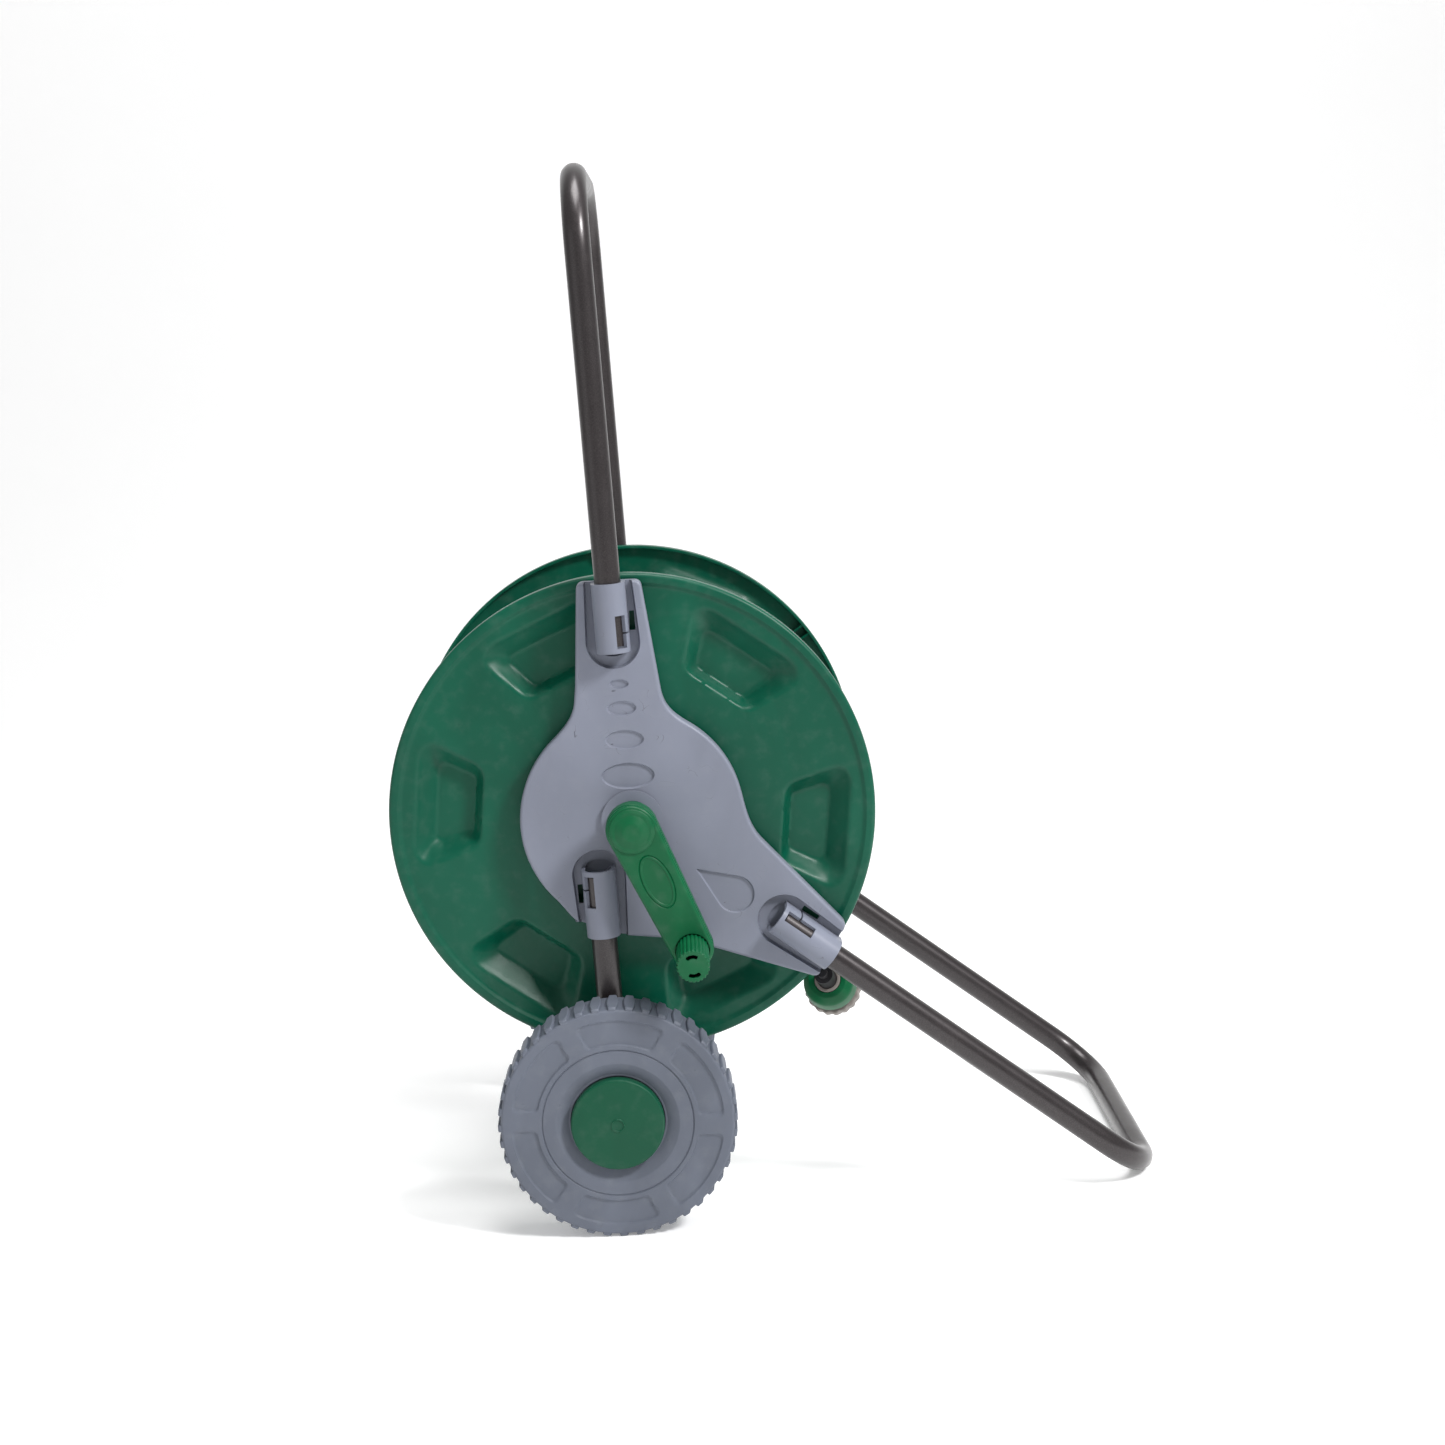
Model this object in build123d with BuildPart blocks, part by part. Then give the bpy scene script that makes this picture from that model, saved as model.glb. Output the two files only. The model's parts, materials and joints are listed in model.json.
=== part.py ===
from build123d import *
from math import cos, radians, sin
import os

os.makedirs("parts", exist_ok=True)

# Garden hose reel cart. +X points towards the stand, the crank is on the -Y side, +Z is up and z = 0 is
# the ground. The reel axis is parallel to Y. A depth is the distance outwards from the drum's mid plane.

# ---- Driving dimensions, mm
AXIS_HEIGHT = 316.0  # reel axis above the ground
FLANGE_R = 190.0
KNOB_REACH = 212.0  # mid plane to the end of the crank knob
CAP_REACH = 192.0  # mid plane to the outer face of a hub cap

TUBE_R = 10.0
TUBE_WALL = 1.2
TUBE_DEPTH = 134.0  # mid plane to the tube axes
HANDLE_ANGLE = 92.0  # direction of each tube line, from +X towards +Z
HANDLE_OFFSET = 2.8  # distance of each tube line from the reel axis, to the left of its direction
HANDLE_HEIGHT = 490.0  # reel axis to the axis of the handle's cross tube
HANDLE_BEND_R = 58.0
STAND_ANGLE = -37.8
STAND_OFFSET = 2.0
STAND_BEND_R = 45.0
LEG_ANGLE = 272.0
LEG_OFFSET = -29.6
LEG_TAIL = 16.0  # length of leg below the axle

WHEEL_R = 92.0
WHEEL_INNER = 150.0  # depth of the wheel's inner face
WHEEL_FACE = 186.0  # depth of the wheel's outer face
WHEEL_LUGS = 44
LUG_HEIGHT = 2.2
LUG_WIDTH = 6.0
CAP_R = 36.0
AXLE_R = 5.0

PLATE_FACE = 128.0
PLATE_BACK = 115.0
PLATE_WALL = 3.0
PLATE_EDGE_R = 2.5
PLATE_DISC_R = 87.0
HANDLE_ARM_END = 186.0  # reel axis to the end of each arm, along its tube
STAND_ARM_END = 189.0
LEG_ARM_END = 88.0
HOUSING_R = 13.0  # outside of a tube housing
HOUSING_LENGTH = 53.0
INSERTION = 48.0  # length of tube inside its housing
HOUSING_BACK = 119.5
POCKET_FLOOR = 122.0
POCKET_R = 21.0  # round end of a housing's pocket
POCKET_MOUTH = 18.0  # half width of the pocket at the end of the arm
POCKET_CENTRE = -46.0
TUBE_FIT = 0.05  # radial gap of a tube in its bore
ARM_ROOT_R = 26.0
ARM_CORNER_R = 5.0
WINDOW = (25.0, 7.3)  # snap window in a housing
WINDOW_AT = (-37.0, 7.3)  # its centre, along the tube from the end of the arm and to the side
TONGUE_SLOT = (15.0, 3.6)  # slot beside the snap tongue
TONGUE_SLOT_AT = (-31.5, 16.0)
TONGUE_SLIT = (1.4, 6.4)
TONGUE_SLIT_AT = (-38.3, 14.5)
TUBE_STOP = 3.0  # width of the ledge that a pushed-in tube meets
PLATE_RIBS = 8
PLATE_RIB_WIDTH = 2.2
PLATE_BOSS_WALL = 5.0
OVALS = ((107, 7.5), (88, 11.5), (63.5, 15), (35, 20.5))  # height above the reel axis, half width
OVAL_LEAN = -0.045
DROP_TIP = (47, -41)  # drop-shaped recess on the stand's arm
DROP_SHOULDERS = ((84, -50), (66, -74))
DROP_CENTRE = (77, -63)
DROP_R = 15.0
RECESS = 0.8

RIM_BACK = 100.0
RIM_FACE = 112.0
PANEL_FACE = 110.0  # outer face of the flange's main panel
FLANGE_WALL = 2.5
WELL_R = 84.0  # the well lies behind the side plate's disc
WELL_FLOOR = 102.0
FLANGE_POCKETS = 6
FLANGE_POCKET_DEPTH = 13.0
FLANGE_POCKET_TURN = -6.0  # direction of the first pocket
CORE_R = 70.0
CORE_WALL = 3.0
CORE_SCREW_R = 61.0
CORE_SCREWS = 6
CORE_SCREW_TURN = 30.0  # direction of the first core screw

JOURNAL_R = 16.0
JOURNAL_BORE = 12.0
CRANK_JOURNAL_END = 151.0
INLET_JOURNAL_END = 139.0
BUSH_R = 20.0
BUSH_FROM = 110.0
BUSH_TO = 130.0
RUNNING = 0.05  # radial clearance of a shaft in its bearing
SEAT_GAP = 0.02  # gap between pieces that are pushed together

CRANK_R = 104.0  # reel axis to the knob axis
CRANK_ANGLE = -66.4
CRANK_BACK = 152.0
CRANK_SPLIT = 163.0  # joint between the crank arm and its cover
CRANK_HUB_R = 20.0
CRANK_TIP_R = 16.5
KNOB_R = 12.6
KNOB_BACK = 166.0
SPINDLE_R = 4.0

INLET_DEPTH = 163.0  # depth of the inlet elbow's hanging branch

# ---- Derived places
STAND_LENGTH = (AXIS_HEIGHT - TUBE_R + STAND_OFFSET * cos(radians(STAND_ANGLE))) / -sin(radians(STAND_ANGLE))
STAND_REACH = STAND_LENGTH * cos(radians(STAND_ANGLE)) - STAND_OFFSET * sin(radians(STAND_ANGLE)) + TUBE_R
REEL_X = (FLANGE_R - STAND_REACH) / 2
DRUM_Y = (KNOB_REACH - CAP_REACH) / 2
LEG_LENGTH = (AXIS_HEIGHT - WHEEL_R + LEG_OFFSET * cos(radians(LEG_ANGLE))) / -sin(radians(LEG_ANGLE))
AXLE_X = REEL_X + LEG_LENGTH * cos(radians(LEG_ANGLE)) - LEG_OFFSET * sin(radians(LEG_ANGLE))
AXLE_Z = WHEEL_R
KNOB_X = REEL_X + CRANK_R * cos(radians(CRANK_ANGLE))
KNOB_Z = AXIS_HEIGHT + CRANK_R * sin(radians(CRANK_ANGLE))
CRANK = -1  # side of the mid plane
INLET = 1

GREEN = Color(0.0, 0.33, 0.24)
GREY = Color(0.45, 0.47, 0.53)
STEEL = Color(0.6, 0.6, 0.62)
BRONZE = Color(0.2, 0.18, 0.18)
BLACK = Color(0.05, 0.05, 0.05)


# ---- Planes
def side_plane(depth, side=CRANK, x=REEL_X, z=AXIS_HEIGHT):
    """Plane parallel to the flanges with its normal outwards and its local y up."""
    return Plane(origin=(x, DRUM_Y + side * depth, z), x_dir=(-side, 0, 0), z_dir=(0, side, 0))


def axial_plane(side=CRANK, x=REEL_X, z=AXIS_HEIGHT):
    """Plane through an axis parallel to Y: local x is the depth, local y is the radius."""
    return Plane(origin=(x, DRUM_Y, z), x_dir=(0, side, 0), z_dir=(side, 0, 0))


def tube_point(angle, offset, reach):
    """Point on a tube's line at a reach from the reel axis, as world x and z."""
    x = REEL_X + reach * cos(radians(angle)) - offset * sin(radians(angle))
    z = AXIS_HEIGHT + reach * sin(radians(angle)) + offset * cos(radians(angle))
    return x, z


def tube_side_plane(angle, offset, reach, depth):
    """Plane parallel to the side plate: local x runs out along the tube, local y to its left."""
    x, z = tube_point(angle, offset, reach)
    direction = (cos(radians(angle)), 0, sin(radians(angle)))
    return Plane(origin=(x, DRUM_Y - depth, z), x_dir=direction, z_dir=(0, -1, 0))


def tube_mouth_plane(angle, offset, reach, side=CRANK):
    """Plane square to a tube: local x is outwards, its normal runs out along the tube."""
    x, z = tube_point(angle, offset, reach)
    direction = (cos(radians(angle)), 0, sin(radians(angle)))
    return Plane(origin=(x, DRUM_Y + side * TUBE_DEPTH, z), x_dir=(0, side, 0), z_dir=direction)


# ---- Shapes used by several pieces
def turn(profile, plane, mode=Mode.ADD):
    """Revolves (distance along, radius) points about the plane's local x axis."""
    with BuildSketch(plane) as section:
        with BuildLine():
            Polyline(*profile, close=True)
        make_face()
    revolve(section.sketch, axis=Axis(plane.origin, plane.x_dir), mode=mode)


def ring(near, far, inner, outer):
    """Section of a plain ring for turn()."""
    return [(near, inner), (far, inner), (far, outer), (near, outer)]


def peg(plane, radius, length, mode=Mode.ADD):
    """Round peg or hole standing on a plane."""
    with BuildSketch(plane) as circle:
        Circle(radius)
    extrude(circle.sketch, amount=length, mode=mode)


def bent_tube(angle, offset, start, reach, bend_r):
    """U-shaped tube whose legs follow a tube line on both sides of the drum."""
    x, z = tube_point(angle, offset, 0)
    direction = Vector(cos(radians(angle)), 0, sin(radians(angle)))
    across = Vector(0, 1, 0)
    plane = Plane(origin=(x, DRUM_Y, z), x_dir=across, z_dir=across.cross(direction))
    with BuildLine(plane) as path:
        FilletPolyline(
            (-TUBE_DEPTH, start),
            (-TUBE_DEPTH, reach),
            (TUBE_DEPTH, reach),
            (TUBE_DEPTH, start),
            radius=bend_r,
        )
    with BuildSketch(Plane(path.line @ 0, z_dir=path.line % 0)) as section:
        Circle(TUBE_R)
        Circle(TUBE_R - TUBE_WALL, mode=Mode.SUBTRACT)
    sweep(section.sketch, path=path.line)


def finish(builder, name, colour):
    """Labels a finished piece and writes it."""
    builder.part.label = name
    builder.part.color = colour
    export_step(builder.part, f"parts/{name}.step")


def mirrored(source, name, colour):
    """Writes the same piece for the other side of the drum."""
    with BuildPart() as copy:
        mirror(source.part, about=Plane.XZ.offset(-DRUM_Y))
    finish(copy, name, colour)


# ---- Side plates
HANDLE_ARM = [(-33.5, 186), (15.5, 186), (27, 100), (33, 60), (-44, 60), (-38.5, 107)]
STAND_ARM = [(0, 0), (60, 23), (163, -92), (139, -133.5), (56, -104.5), (20, -95.5)]
LEG_ARM = [(0, 0), (20, -95.5), (-13.6, -91.5), (-48, -79), (-75, -44)]
ARM_ROOTS = [(29.5, 82), (-42, 76), (86.5, -6.5)]  # where an arm leaves the round plate
ARM_CORNERS = [(-33.5, 186), (15.5, 186), (163, -92), (139, -133.5)]
SOCKETS = [  # tube line, end of the arm, side of the snap window
    (HANDLE_ANGLE, HANDLE_OFFSET, HANDLE_ARM_END, -1),
    (STAND_ANGLE, STAND_OFFSET, STAND_ARM_END, 1),
    (LEG_ANGLE, LEG_OFFSET, LEG_ARM_END, -1),
]


def plate_outline(depth, inset=0.0):
    """Outline of the side plate on a plane at a depth."""
    with BuildSketch(side_plane(depth)) as outline:
        Circle(PLATE_DISC_R)
        for corners in (HANDLE_ARM, STAND_ARM, LEG_ARM):
            with BuildLine():
                Polyline(*corners, close=True)
            make_face()
        for root in ARM_ROOTS:
            fillet(outline.vertices().sort_by_distance(root)[0], radius=ARM_ROOT_R)
        for corner in ARM_CORNERS:
            fillet(outline.vertices().sort_by_distance(corner)[0], radius=ARM_CORNER_R)
        if inset:
            offset(amount=-inset, mode=Mode.REPLACE)
    return outline.sketch


def pocket_outline(socket, depth, grow=0.0):
    """Outline of the pocket round a tube housing, open at the end of the arm."""
    angle, tube_offset, reach, _ = socket
    with BuildSketch(tube_side_plane(angle, tube_offset, reach, depth)) as outline:
        with Locations((POCKET_CENTRE, 0)):
            Circle(POCKET_R + grow)
        with BuildLine():
            Polyline(
                (POCKET_CENTRE, POCKET_R + grow),
                (12, POCKET_MOUTH + grow),
                (12, -POCKET_MOUTH - grow),
                (POCKET_CENTRE, -POCKET_R - grow),
                close=True,
            )
        make_face()
    return outline.sketch


def socket_pocket(socket):
    """Sinks the pocket into the plate and keeps a floor behind it."""
    depth = PLATE_FACE - HOUSING_BACK
    floor = pocket_outline(socket, HOUSING_BACK, grow=FLANGE_WALL)
    with BuildPart(mode=Mode.PRIVATE) as block:
        extrude(floor, amount=depth)
        extrude(plate_outline(HOUSING_BACK), amount=depth, mode=Mode.INTERSECT)
    add(block.part)
    extrude(pocket_outline(socket, POCKET_FLOOR), amount=PLATE_FACE, mode=Mode.SUBTRACT)


def socket_housing(socket):
    """Adds the half-round tube housing with its bore, snap window and latch slot."""
    angle, tube_offset, reach, hand = socket
    mouth = tube_mouth_plane(angle, tube_offset, reach)
    foot = TUBE_DEPTH - HOUSING_BACK
    with BuildSketch(mouth) as section:
        Circle(HOUSING_R)
        with Locations((-foot / 2, 0)):
            Rectangle(foot, 2 * HOUSING_R)
    extrude(section.sketch, amount=-HOUSING_LENGTH)
    with BuildSketch(mouth.offset(20)) as bore:
        Circle(TUBE_R + TUBE_FIT)
    extrude(bore.sketch, amount=-INSERTION - 20, mode=Mode.SUBTRACT)
    with BuildSketch(mouth) as stop:
        Circle(TUBE_R - TUBE_STOP)
    extrude(stop.sketch, amount=-HOUSING_LENGTH - 1, mode=Mode.SUBTRACT)
    with BuildSketch(tube_side_plane(angle, tube_offset, reach, TUBE_DEPTH)) as window:
        with Locations((WINDOW_AT[0], hand * WINDOW_AT[1])):
            Rectangle(*WINDOW)
    extrude(window.sketch, amount=HOUSING_R + 1, mode=Mode.SUBTRACT)
    with BuildSketch(tube_side_plane(angle, tube_offset, reach, HOUSING_BACK - 1)) as latch:
        with Locations((TONGUE_SLOT_AT[0], hand * TONGUE_SLOT_AT[1])):
            Rectangle(*TONGUE_SLOT)
        with Locations((TONGUE_SLIT_AT[0], hand * TONGUE_SLIT_AT[1])):
            Rectangle(*TONGUE_SLIT)
    extrude(latch.sketch, amount=HOUSING_BACK - POCKET_FLOOR + 9, mode=Mode.SUBTRACT)


SPIGOT_FROM = Vector(143.5, -117.0, -134.0)  # parked connector: a point on its axis and its direction
SPIGOT_ALONG = Vector(0.22, 0.84, -0.5).normalized()
SPIGOT_AXIS = Plane(
    origin=Vector(REEL_X, DRUM_Y, AXIS_HEIGHT) + SPIGOT_FROM,
    x_dir=SPIGOT_ALONG,
    z_dir=SPIGOT_ALONG.cross(Vector(0, 0, 1)),
)
SPIGOT_TAIL_R = 4.0
SPIGOT_TAIL = 5.8  # length of the spigot's tail in its lug
SPIGOT_R = 7.4
SPIGOT_END = 33.0
LUG_R = 7.5
LUG_LENGTH = 9.0


def spigot_plane(distance):
    """Plane square to the spigot at a distance along it, facing along it."""
    return Plane(origin=SPIGOT_AXIS.origin + SPIGOT_ALONG * distance, z_dir=SPIGOT_ALONG)


def side_plate(parking):
    """Side plate for the crank side, with or without the lug for the parked connector."""
    thickness = PLATE_FACE - PLATE_BACK
    with BuildPart() as plate:
        extrude(plate_outline(PLATE_BACK), amount=thickness)
        fillet(plate.faces().sort_by(Axis.Y)[0].edges(), radius=PLATE_EDGE_R)
        cavity = plate_outline(PLATE_BACK, PLATE_WALL)
        extrude(cavity, amount=thickness - PLATE_WALL, mode=Mode.SUBTRACT)
        with BuildSketch(side_plane(PLATE_BACK + 1)) as ribs:
            with PolarLocations(0, PLATE_RIBS, start_angle=180 / PLATE_RIBS):
                Rectangle(2 * (PLATE_DISC_R - PLATE_WALL), PLATE_RIB_WIDTH)
        extrude(ribs.sketch, amount=thickness - 2)
        peg(side_plane(BUSH_FROM), BUSH_R + PLATE_BOSS_WALL, BUSH_TO - BUSH_FROM)
        for socket in SOCKETS:
            socket_pocket(socket)
            socket_housing(socket)
        peg(side_plane(BUSH_FROM - 10), BUSH_R + SEAT_GAP, 40, mode=Mode.SUBTRACT)
        with BuildSketch(side_plane(PLATE_FACE - RECESS)) as recesses:
            for height, half_width in OVALS:
                with Locations((OVAL_LEAN * height, height)):
                    Ellipse(half_width, half_width / 2)
            with Locations(DROP_CENTRE):
                Circle(DROP_R)
            with BuildLine():
                Polyline(DROP_TIP, *DROP_SHOULDERS, close=True)
            make_face()
        extrude(recesses.sketch, amount=2 * RECESS, mode=Mode.SUBTRACT)
        if parking:
            peg(spigot_plane(-LUG_LENGTH + 1), LUG_R, LUG_LENGTH)
            peg(spigot_plane(-SPIGOT_TAIL - 0.2), SPIGOT_TAIL_R + SEAT_GAP, 20, mode=Mode.SUBTRACT)
    return plate


side_plate_crank = side_plate(parking=True)
finish(side_plate_crank, "side_plate_crank", GREY)
mirrored(side_plate(parking=False), "side_plate_inlet", GREY)

# ---- Tubes
with BuildPart() as handle_tube:
    bent_tube(HANDLE_ANGLE, HANDLE_OFFSET, HANDLE_ARM_END - INSERTION, HANDLE_HEIGHT, HANDLE_BEND_R)
finish(handle_tube, "handle_tube", BRONZE)

with BuildPart() as stand_tube:
    bent_tube(STAND_ANGLE, STAND_OFFSET, STAND_ARM_END - INSERTION, STAND_LENGTH, STAND_BEND_R)
finish(stand_tube, "stand_tube", BRONZE)

LEG_START = LEG_ARM_END - INSERTION
LEG_END = LEG_LENGTH + LEG_TAIL

with BuildPart() as wheel_leg_crank:
    with BuildSketch(tube_mouth_plane(LEG_ANGLE, LEG_OFFSET, LEG_START)):
        Circle(TUBE_R)
        Circle(TUBE_R - TUBE_WALL, mode=Mode.SUBTRACT)
    extrude(amount=LEG_END - LEG_START)
    peg(side_plane(TUBE_DEPTH - 20, x=AXLE_X, z=AXLE_Z), AXLE_R + RUNNING, 40, mode=Mode.SUBTRACT)
finish(wheel_leg_crank, "wheel_leg_crank", BRONZE)
mirrored(wheel_leg_crank, "wheel_leg_inlet", BRONZE)

with BuildPart() as leg_plug_crank:
    peg(tube_mouth_plane(LEG_ANGLE, LEG_OFFSET, LEG_END), TUBE_R, 3)
    fillet(leg_plug_crank.edges().sort_by(Axis.Z)[0], radius=1.5)
    peg(tube_mouth_plane(LEG_ANGLE, LEG_OFFSET, LEG_END), TUBE_R - TUBE_WALL - TUBE_FIT, -LEG_TAIL - 14)
    peg(side_plane(TUBE_DEPTH - 20, x=AXLE_X, z=AXLE_Z), AXLE_R + RUNNING, 40, mode=Mode.SUBTRACT)
finish(leg_plug_crank, "leg_plug_crank", BLACK)
mirrored(leg_plug_crank, "leg_plug_inlet", BLACK)

# ---- Axle and wheels
AXLE_PLANE = axial_plane(x=AXLE_X, z=AXLE_Z)
RECESS_FLOOR = 178.0  # bottom of the recess behind the hub cap
HUB_R = 13.0

with BuildPart() as axle_rod:
    peg(side_plane(-RECESS_FLOOR - 6, x=AXLE_X, z=AXLE_Z), AXLE_R, 2 * RECESS_FLOOR + 12)
    chamfer(axle_rod.edges(), length=1)
finish(axle_rod, "axle_rod", STEEL)

with BuildPart() as axle_washers:
    turn(ring(WHEEL_INNER - 3.4, WHEEL_INNER - 0.4, AXLE_R + RUNNING, 11), AXLE_PLANE)
    mirror(about=Plane.XZ.offset(-DRUM_Y))
finish(axle_washers, "axle_washers", STEEL)

with BuildPart() as axle_push_nuts:
    turn(ring(RECESS_FLOOR + 0.4, RECESS_FLOOR + 2, AXLE_R, 10), AXLE_PLANE)
    turn([(RECESS_FLOOR + 2, AXLE_R), (RECESS_FLOOR + 4, AXLE_R), (RECESS_FLOOR + 2, 8)], AXLE_PLANE)
    mirror(about=Plane.XZ.offset(-DRUM_Y))
finish(axle_push_nuts, "axle_push_nuts", STEEL)

DISH_R = 47.5  # edge of the dish round the hub cap
PANEL_INNER = 61.5
PANEL_OUTER = 82.0
PANEL_TURN = -4.0  # the sunk panels are turned a little against the spokes
TREAD_R = WHEEL_R - LUG_HEIGHT

with BuildPart() as wheel_crank:
    turn(
        [
            (WHEEL_INNER, TREAD_R - 6),
            (WHEEL_INNER, TREAD_R - 2),
            (WHEEL_INNER + 2, TREAD_R),
            (WHEEL_FACE - 3, TREAD_R),
            (WHEEL_FACE, TREAD_R - 2),
            (WHEEL_FACE, DISH_R),
            (WHEEL_FACE - 5, CAP_R + 2),
            (WHEEL_FACE - 5, CAP_R + 0.2),
            (RECESS_FLOOR, CAP_R + 0.2),
            (RECESS_FLOOR, AXLE_R + RUNNING),
            (WHEEL_INNER, AXLE_R + RUNNING),
            (WHEEL_INNER, HUB_R),
            (RECESS_FLOOR - 4, HUB_R),
            (RECESS_FLOOR - 4, CAP_R + 3),
            (WHEEL_FACE - 5, DISH_R + 3),
            (WHEEL_FACE - 5, TREAD_R - 6),
        ],
        AXLE_PLANE,
    )
    with BuildSketch(side_plane(WHEEL_INNER + 2, x=AXLE_X, z=AXLE_Z)) as lugs:
        with PolarLocations(TREAD_R + LUG_HEIGHT / 2 - 0.5, WHEEL_LUGS, start_angle=-90):
            Rectangle(LUG_HEIGHT + 1, LUG_WIDTH)
    extrude(lugs.sketch, amount=WHEEL_FACE - WHEEL_INNER - 4)
    with BuildSketch(side_plane(WHEEL_FACE - 1.2, x=AXLE_X, z=AXLE_Z)) as panels:
        Circle(PANEL_OUTER)
        Circle(PANEL_INNER, mode=Mode.SUBTRACT)
        with PolarLocations(0, 6, start_angle=PANEL_TURN):
            Rectangle(2 * PANEL_OUTER, 14, mode=Mode.SUBTRACT)
    extrude(panels.sketch, amount=2, mode=Mode.SUBTRACT)
    with BuildSketch(side_plane(WHEEL_INNER + 6, x=AXLE_X, z=AXLE_Z)) as spokes:
        with PolarLocations(48, 6, start_angle=30):
            Rectangle(72, 3)
    extrude(spokes.sketch, amount=RECESS_FLOOR - WHEEL_INNER - 9)
finish(wheel_crank, "wheel_crank", GREY)
mirrored(wheel_crank, "wheel_inlet", GREY)

with BuildPart() as hub_cap_crank:
    turn(
        [
            (RECESS_FLOOR + 5, CAP_R - 3),
            (RECESS_FLOOR + 5, CAP_R),
            (WHEEL_FACE + 2, CAP_R),
            (WHEEL_FACE + 4.5, CAP_R - 2.5),
            (CAP_REACH, 0),
            (CAP_REACH - 2.5, 0),
            (WHEEL_FACE + 2, CAP_R - 4),
        ],
        AXLE_PLANE,
    )
    with BuildSketch(side_plane(RECESS_FLOOR + 0.2, x=AXLE_X, z=AXLE_Z)) as snap_legs:
        with PolarLocations(CAP_R - 4.5, 4):
            Rectangle(2.5, 10)
    extrude(snap_legs.sketch, amount=9.2)
finish(hub_cap_crank, "hub_cap_crank", GREEN)
mirrored(hub_cap_crank, "hub_cap_inlet", GREEN)

# ---- Drum
BACK_OF_PANEL = PANEL_FACE - FLANGE_WALL
BACK_OF_WELL = WELL_FLOOR - FLANGE_WALL
POCKET_BACK = PANEL_FACE - FLANGE_POCKET_DEPTH - FLANGE_WALL
JOURNAL_INNER = 88.0


def flange_pocket_outline(side, grow):
    """The rounded trapezoids sunk into a flange's panel."""
    with BuildSketch() as pocket:
        with BuildLine():
            FilletPolyline(
                (118 - grow, -33 - grow),
                (118 - grow, 33 + grow),
                (160, 51 + grow),
                (167 + grow, 42),
                (167 + grow, -42),
                (160, -51 - grow),
                radius=9,
                close=True,
            )
        make_face()
    with BuildSketch(side_plane(PANEL_FACE, side)) as outline:
        with PolarLocations(0, FLANGE_POCKETS, start_angle=FLANGE_POCKET_TURN):
            add(pocket.sketch)
    return outline.sketch


def flange(side, journal_end):
    """Flange with rolled rim, sunk pockets, central well and its bearing journal."""
    axis = axial_plane(side)
    with BuildPart() as disc:
        turn(
            [
                (RIM_BACK, FLANGE_R),
                (RIM_FACE - 3, FLANGE_R),
                (RIM_FACE - 0.8, FLANGE_R - 1),
                (RIM_FACE, FLANGE_R - 3),
                (RIM_FACE, FLANGE_R - 6),
                (PANEL_FACE, FLANGE_R - 8),
                (PANEL_FACE, WELL_R),
                (WELL_FLOOR, WELL_R - 6),
                (WELL_FLOOR, JOURNAL_R),
                (journal_end, JOURNAL_R),
                (journal_end, JOURNAL_BORE),
                (JOURNAL_INNER, JOURNAL_BORE),
                (JOURNAL_INNER, JOURNAL_R + 2),
                (BACK_OF_WELL, JOURNAL_R + 2),
                (BACK_OF_WELL, WELL_R - 4),
                (BACK_OF_PANEL, WELL_R + 2),
                (BACK_OF_PANEL, FLANGE_R - 2.5),
                (RIM_BACK, FLANGE_R - 2.5),
            ],
            axis,
        )
        with BuildSketch(side_plane(BACK_OF_WELL, side)) as core_seat:
            Circle(CORE_R - CORE_WALL - 0.1)
            Circle(CORE_R - CORE_WALL - 2.6, mode=Mode.SUBTRACT)
        extrude(core_seat.sketch, amount=-8)
        extrude(flange_pocket_outline(side, 1.5), amount=POCKET_BACK - PANEL_FACE, taper=30)
        extrude(flange_pocket_outline(side, 0), amount=-FLANGE_POCKET_DEPTH, taper=32, mode=Mode.SUBTRACT)
        with BuildSketch(side_plane(RIM_BACK + 1, side)) as rim_ribs:
            with PolarLocations(FLANGE_R - 6, 18):
                Rectangle(9, 1.6)
        extrude(rim_ribs.sketch, amount=BACK_OF_PANEL - RIM_BACK - 0.8)
        with BuildSketch(side_plane(BACK_OF_WELL - 2, side)) as holes:
            with PolarLocations(CORE_SCREW_R, CORE_SCREWS, start_angle=CORE_SCREW_TURN):
                Circle(2)
        extrude(holes.sketch, amount=8, mode=Mode.SUBTRACT)
    return disc


flange_crank = flange(CRANK, CRANK_JOURNAL_END)
finish(flange_crank, "flange_crank", GREEN)
flange_inlet = flange(INLET, INLET_JOURNAL_END)
finish(flange_inlet, "flange_inlet", GREEN)

OUTLET_DEPTH = 48.0  # depth of the water outlet, on the inlet side
OUTLET_PORT_R = 11.0

CORE_SEAM = 0.3  # gap between two core panels


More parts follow.
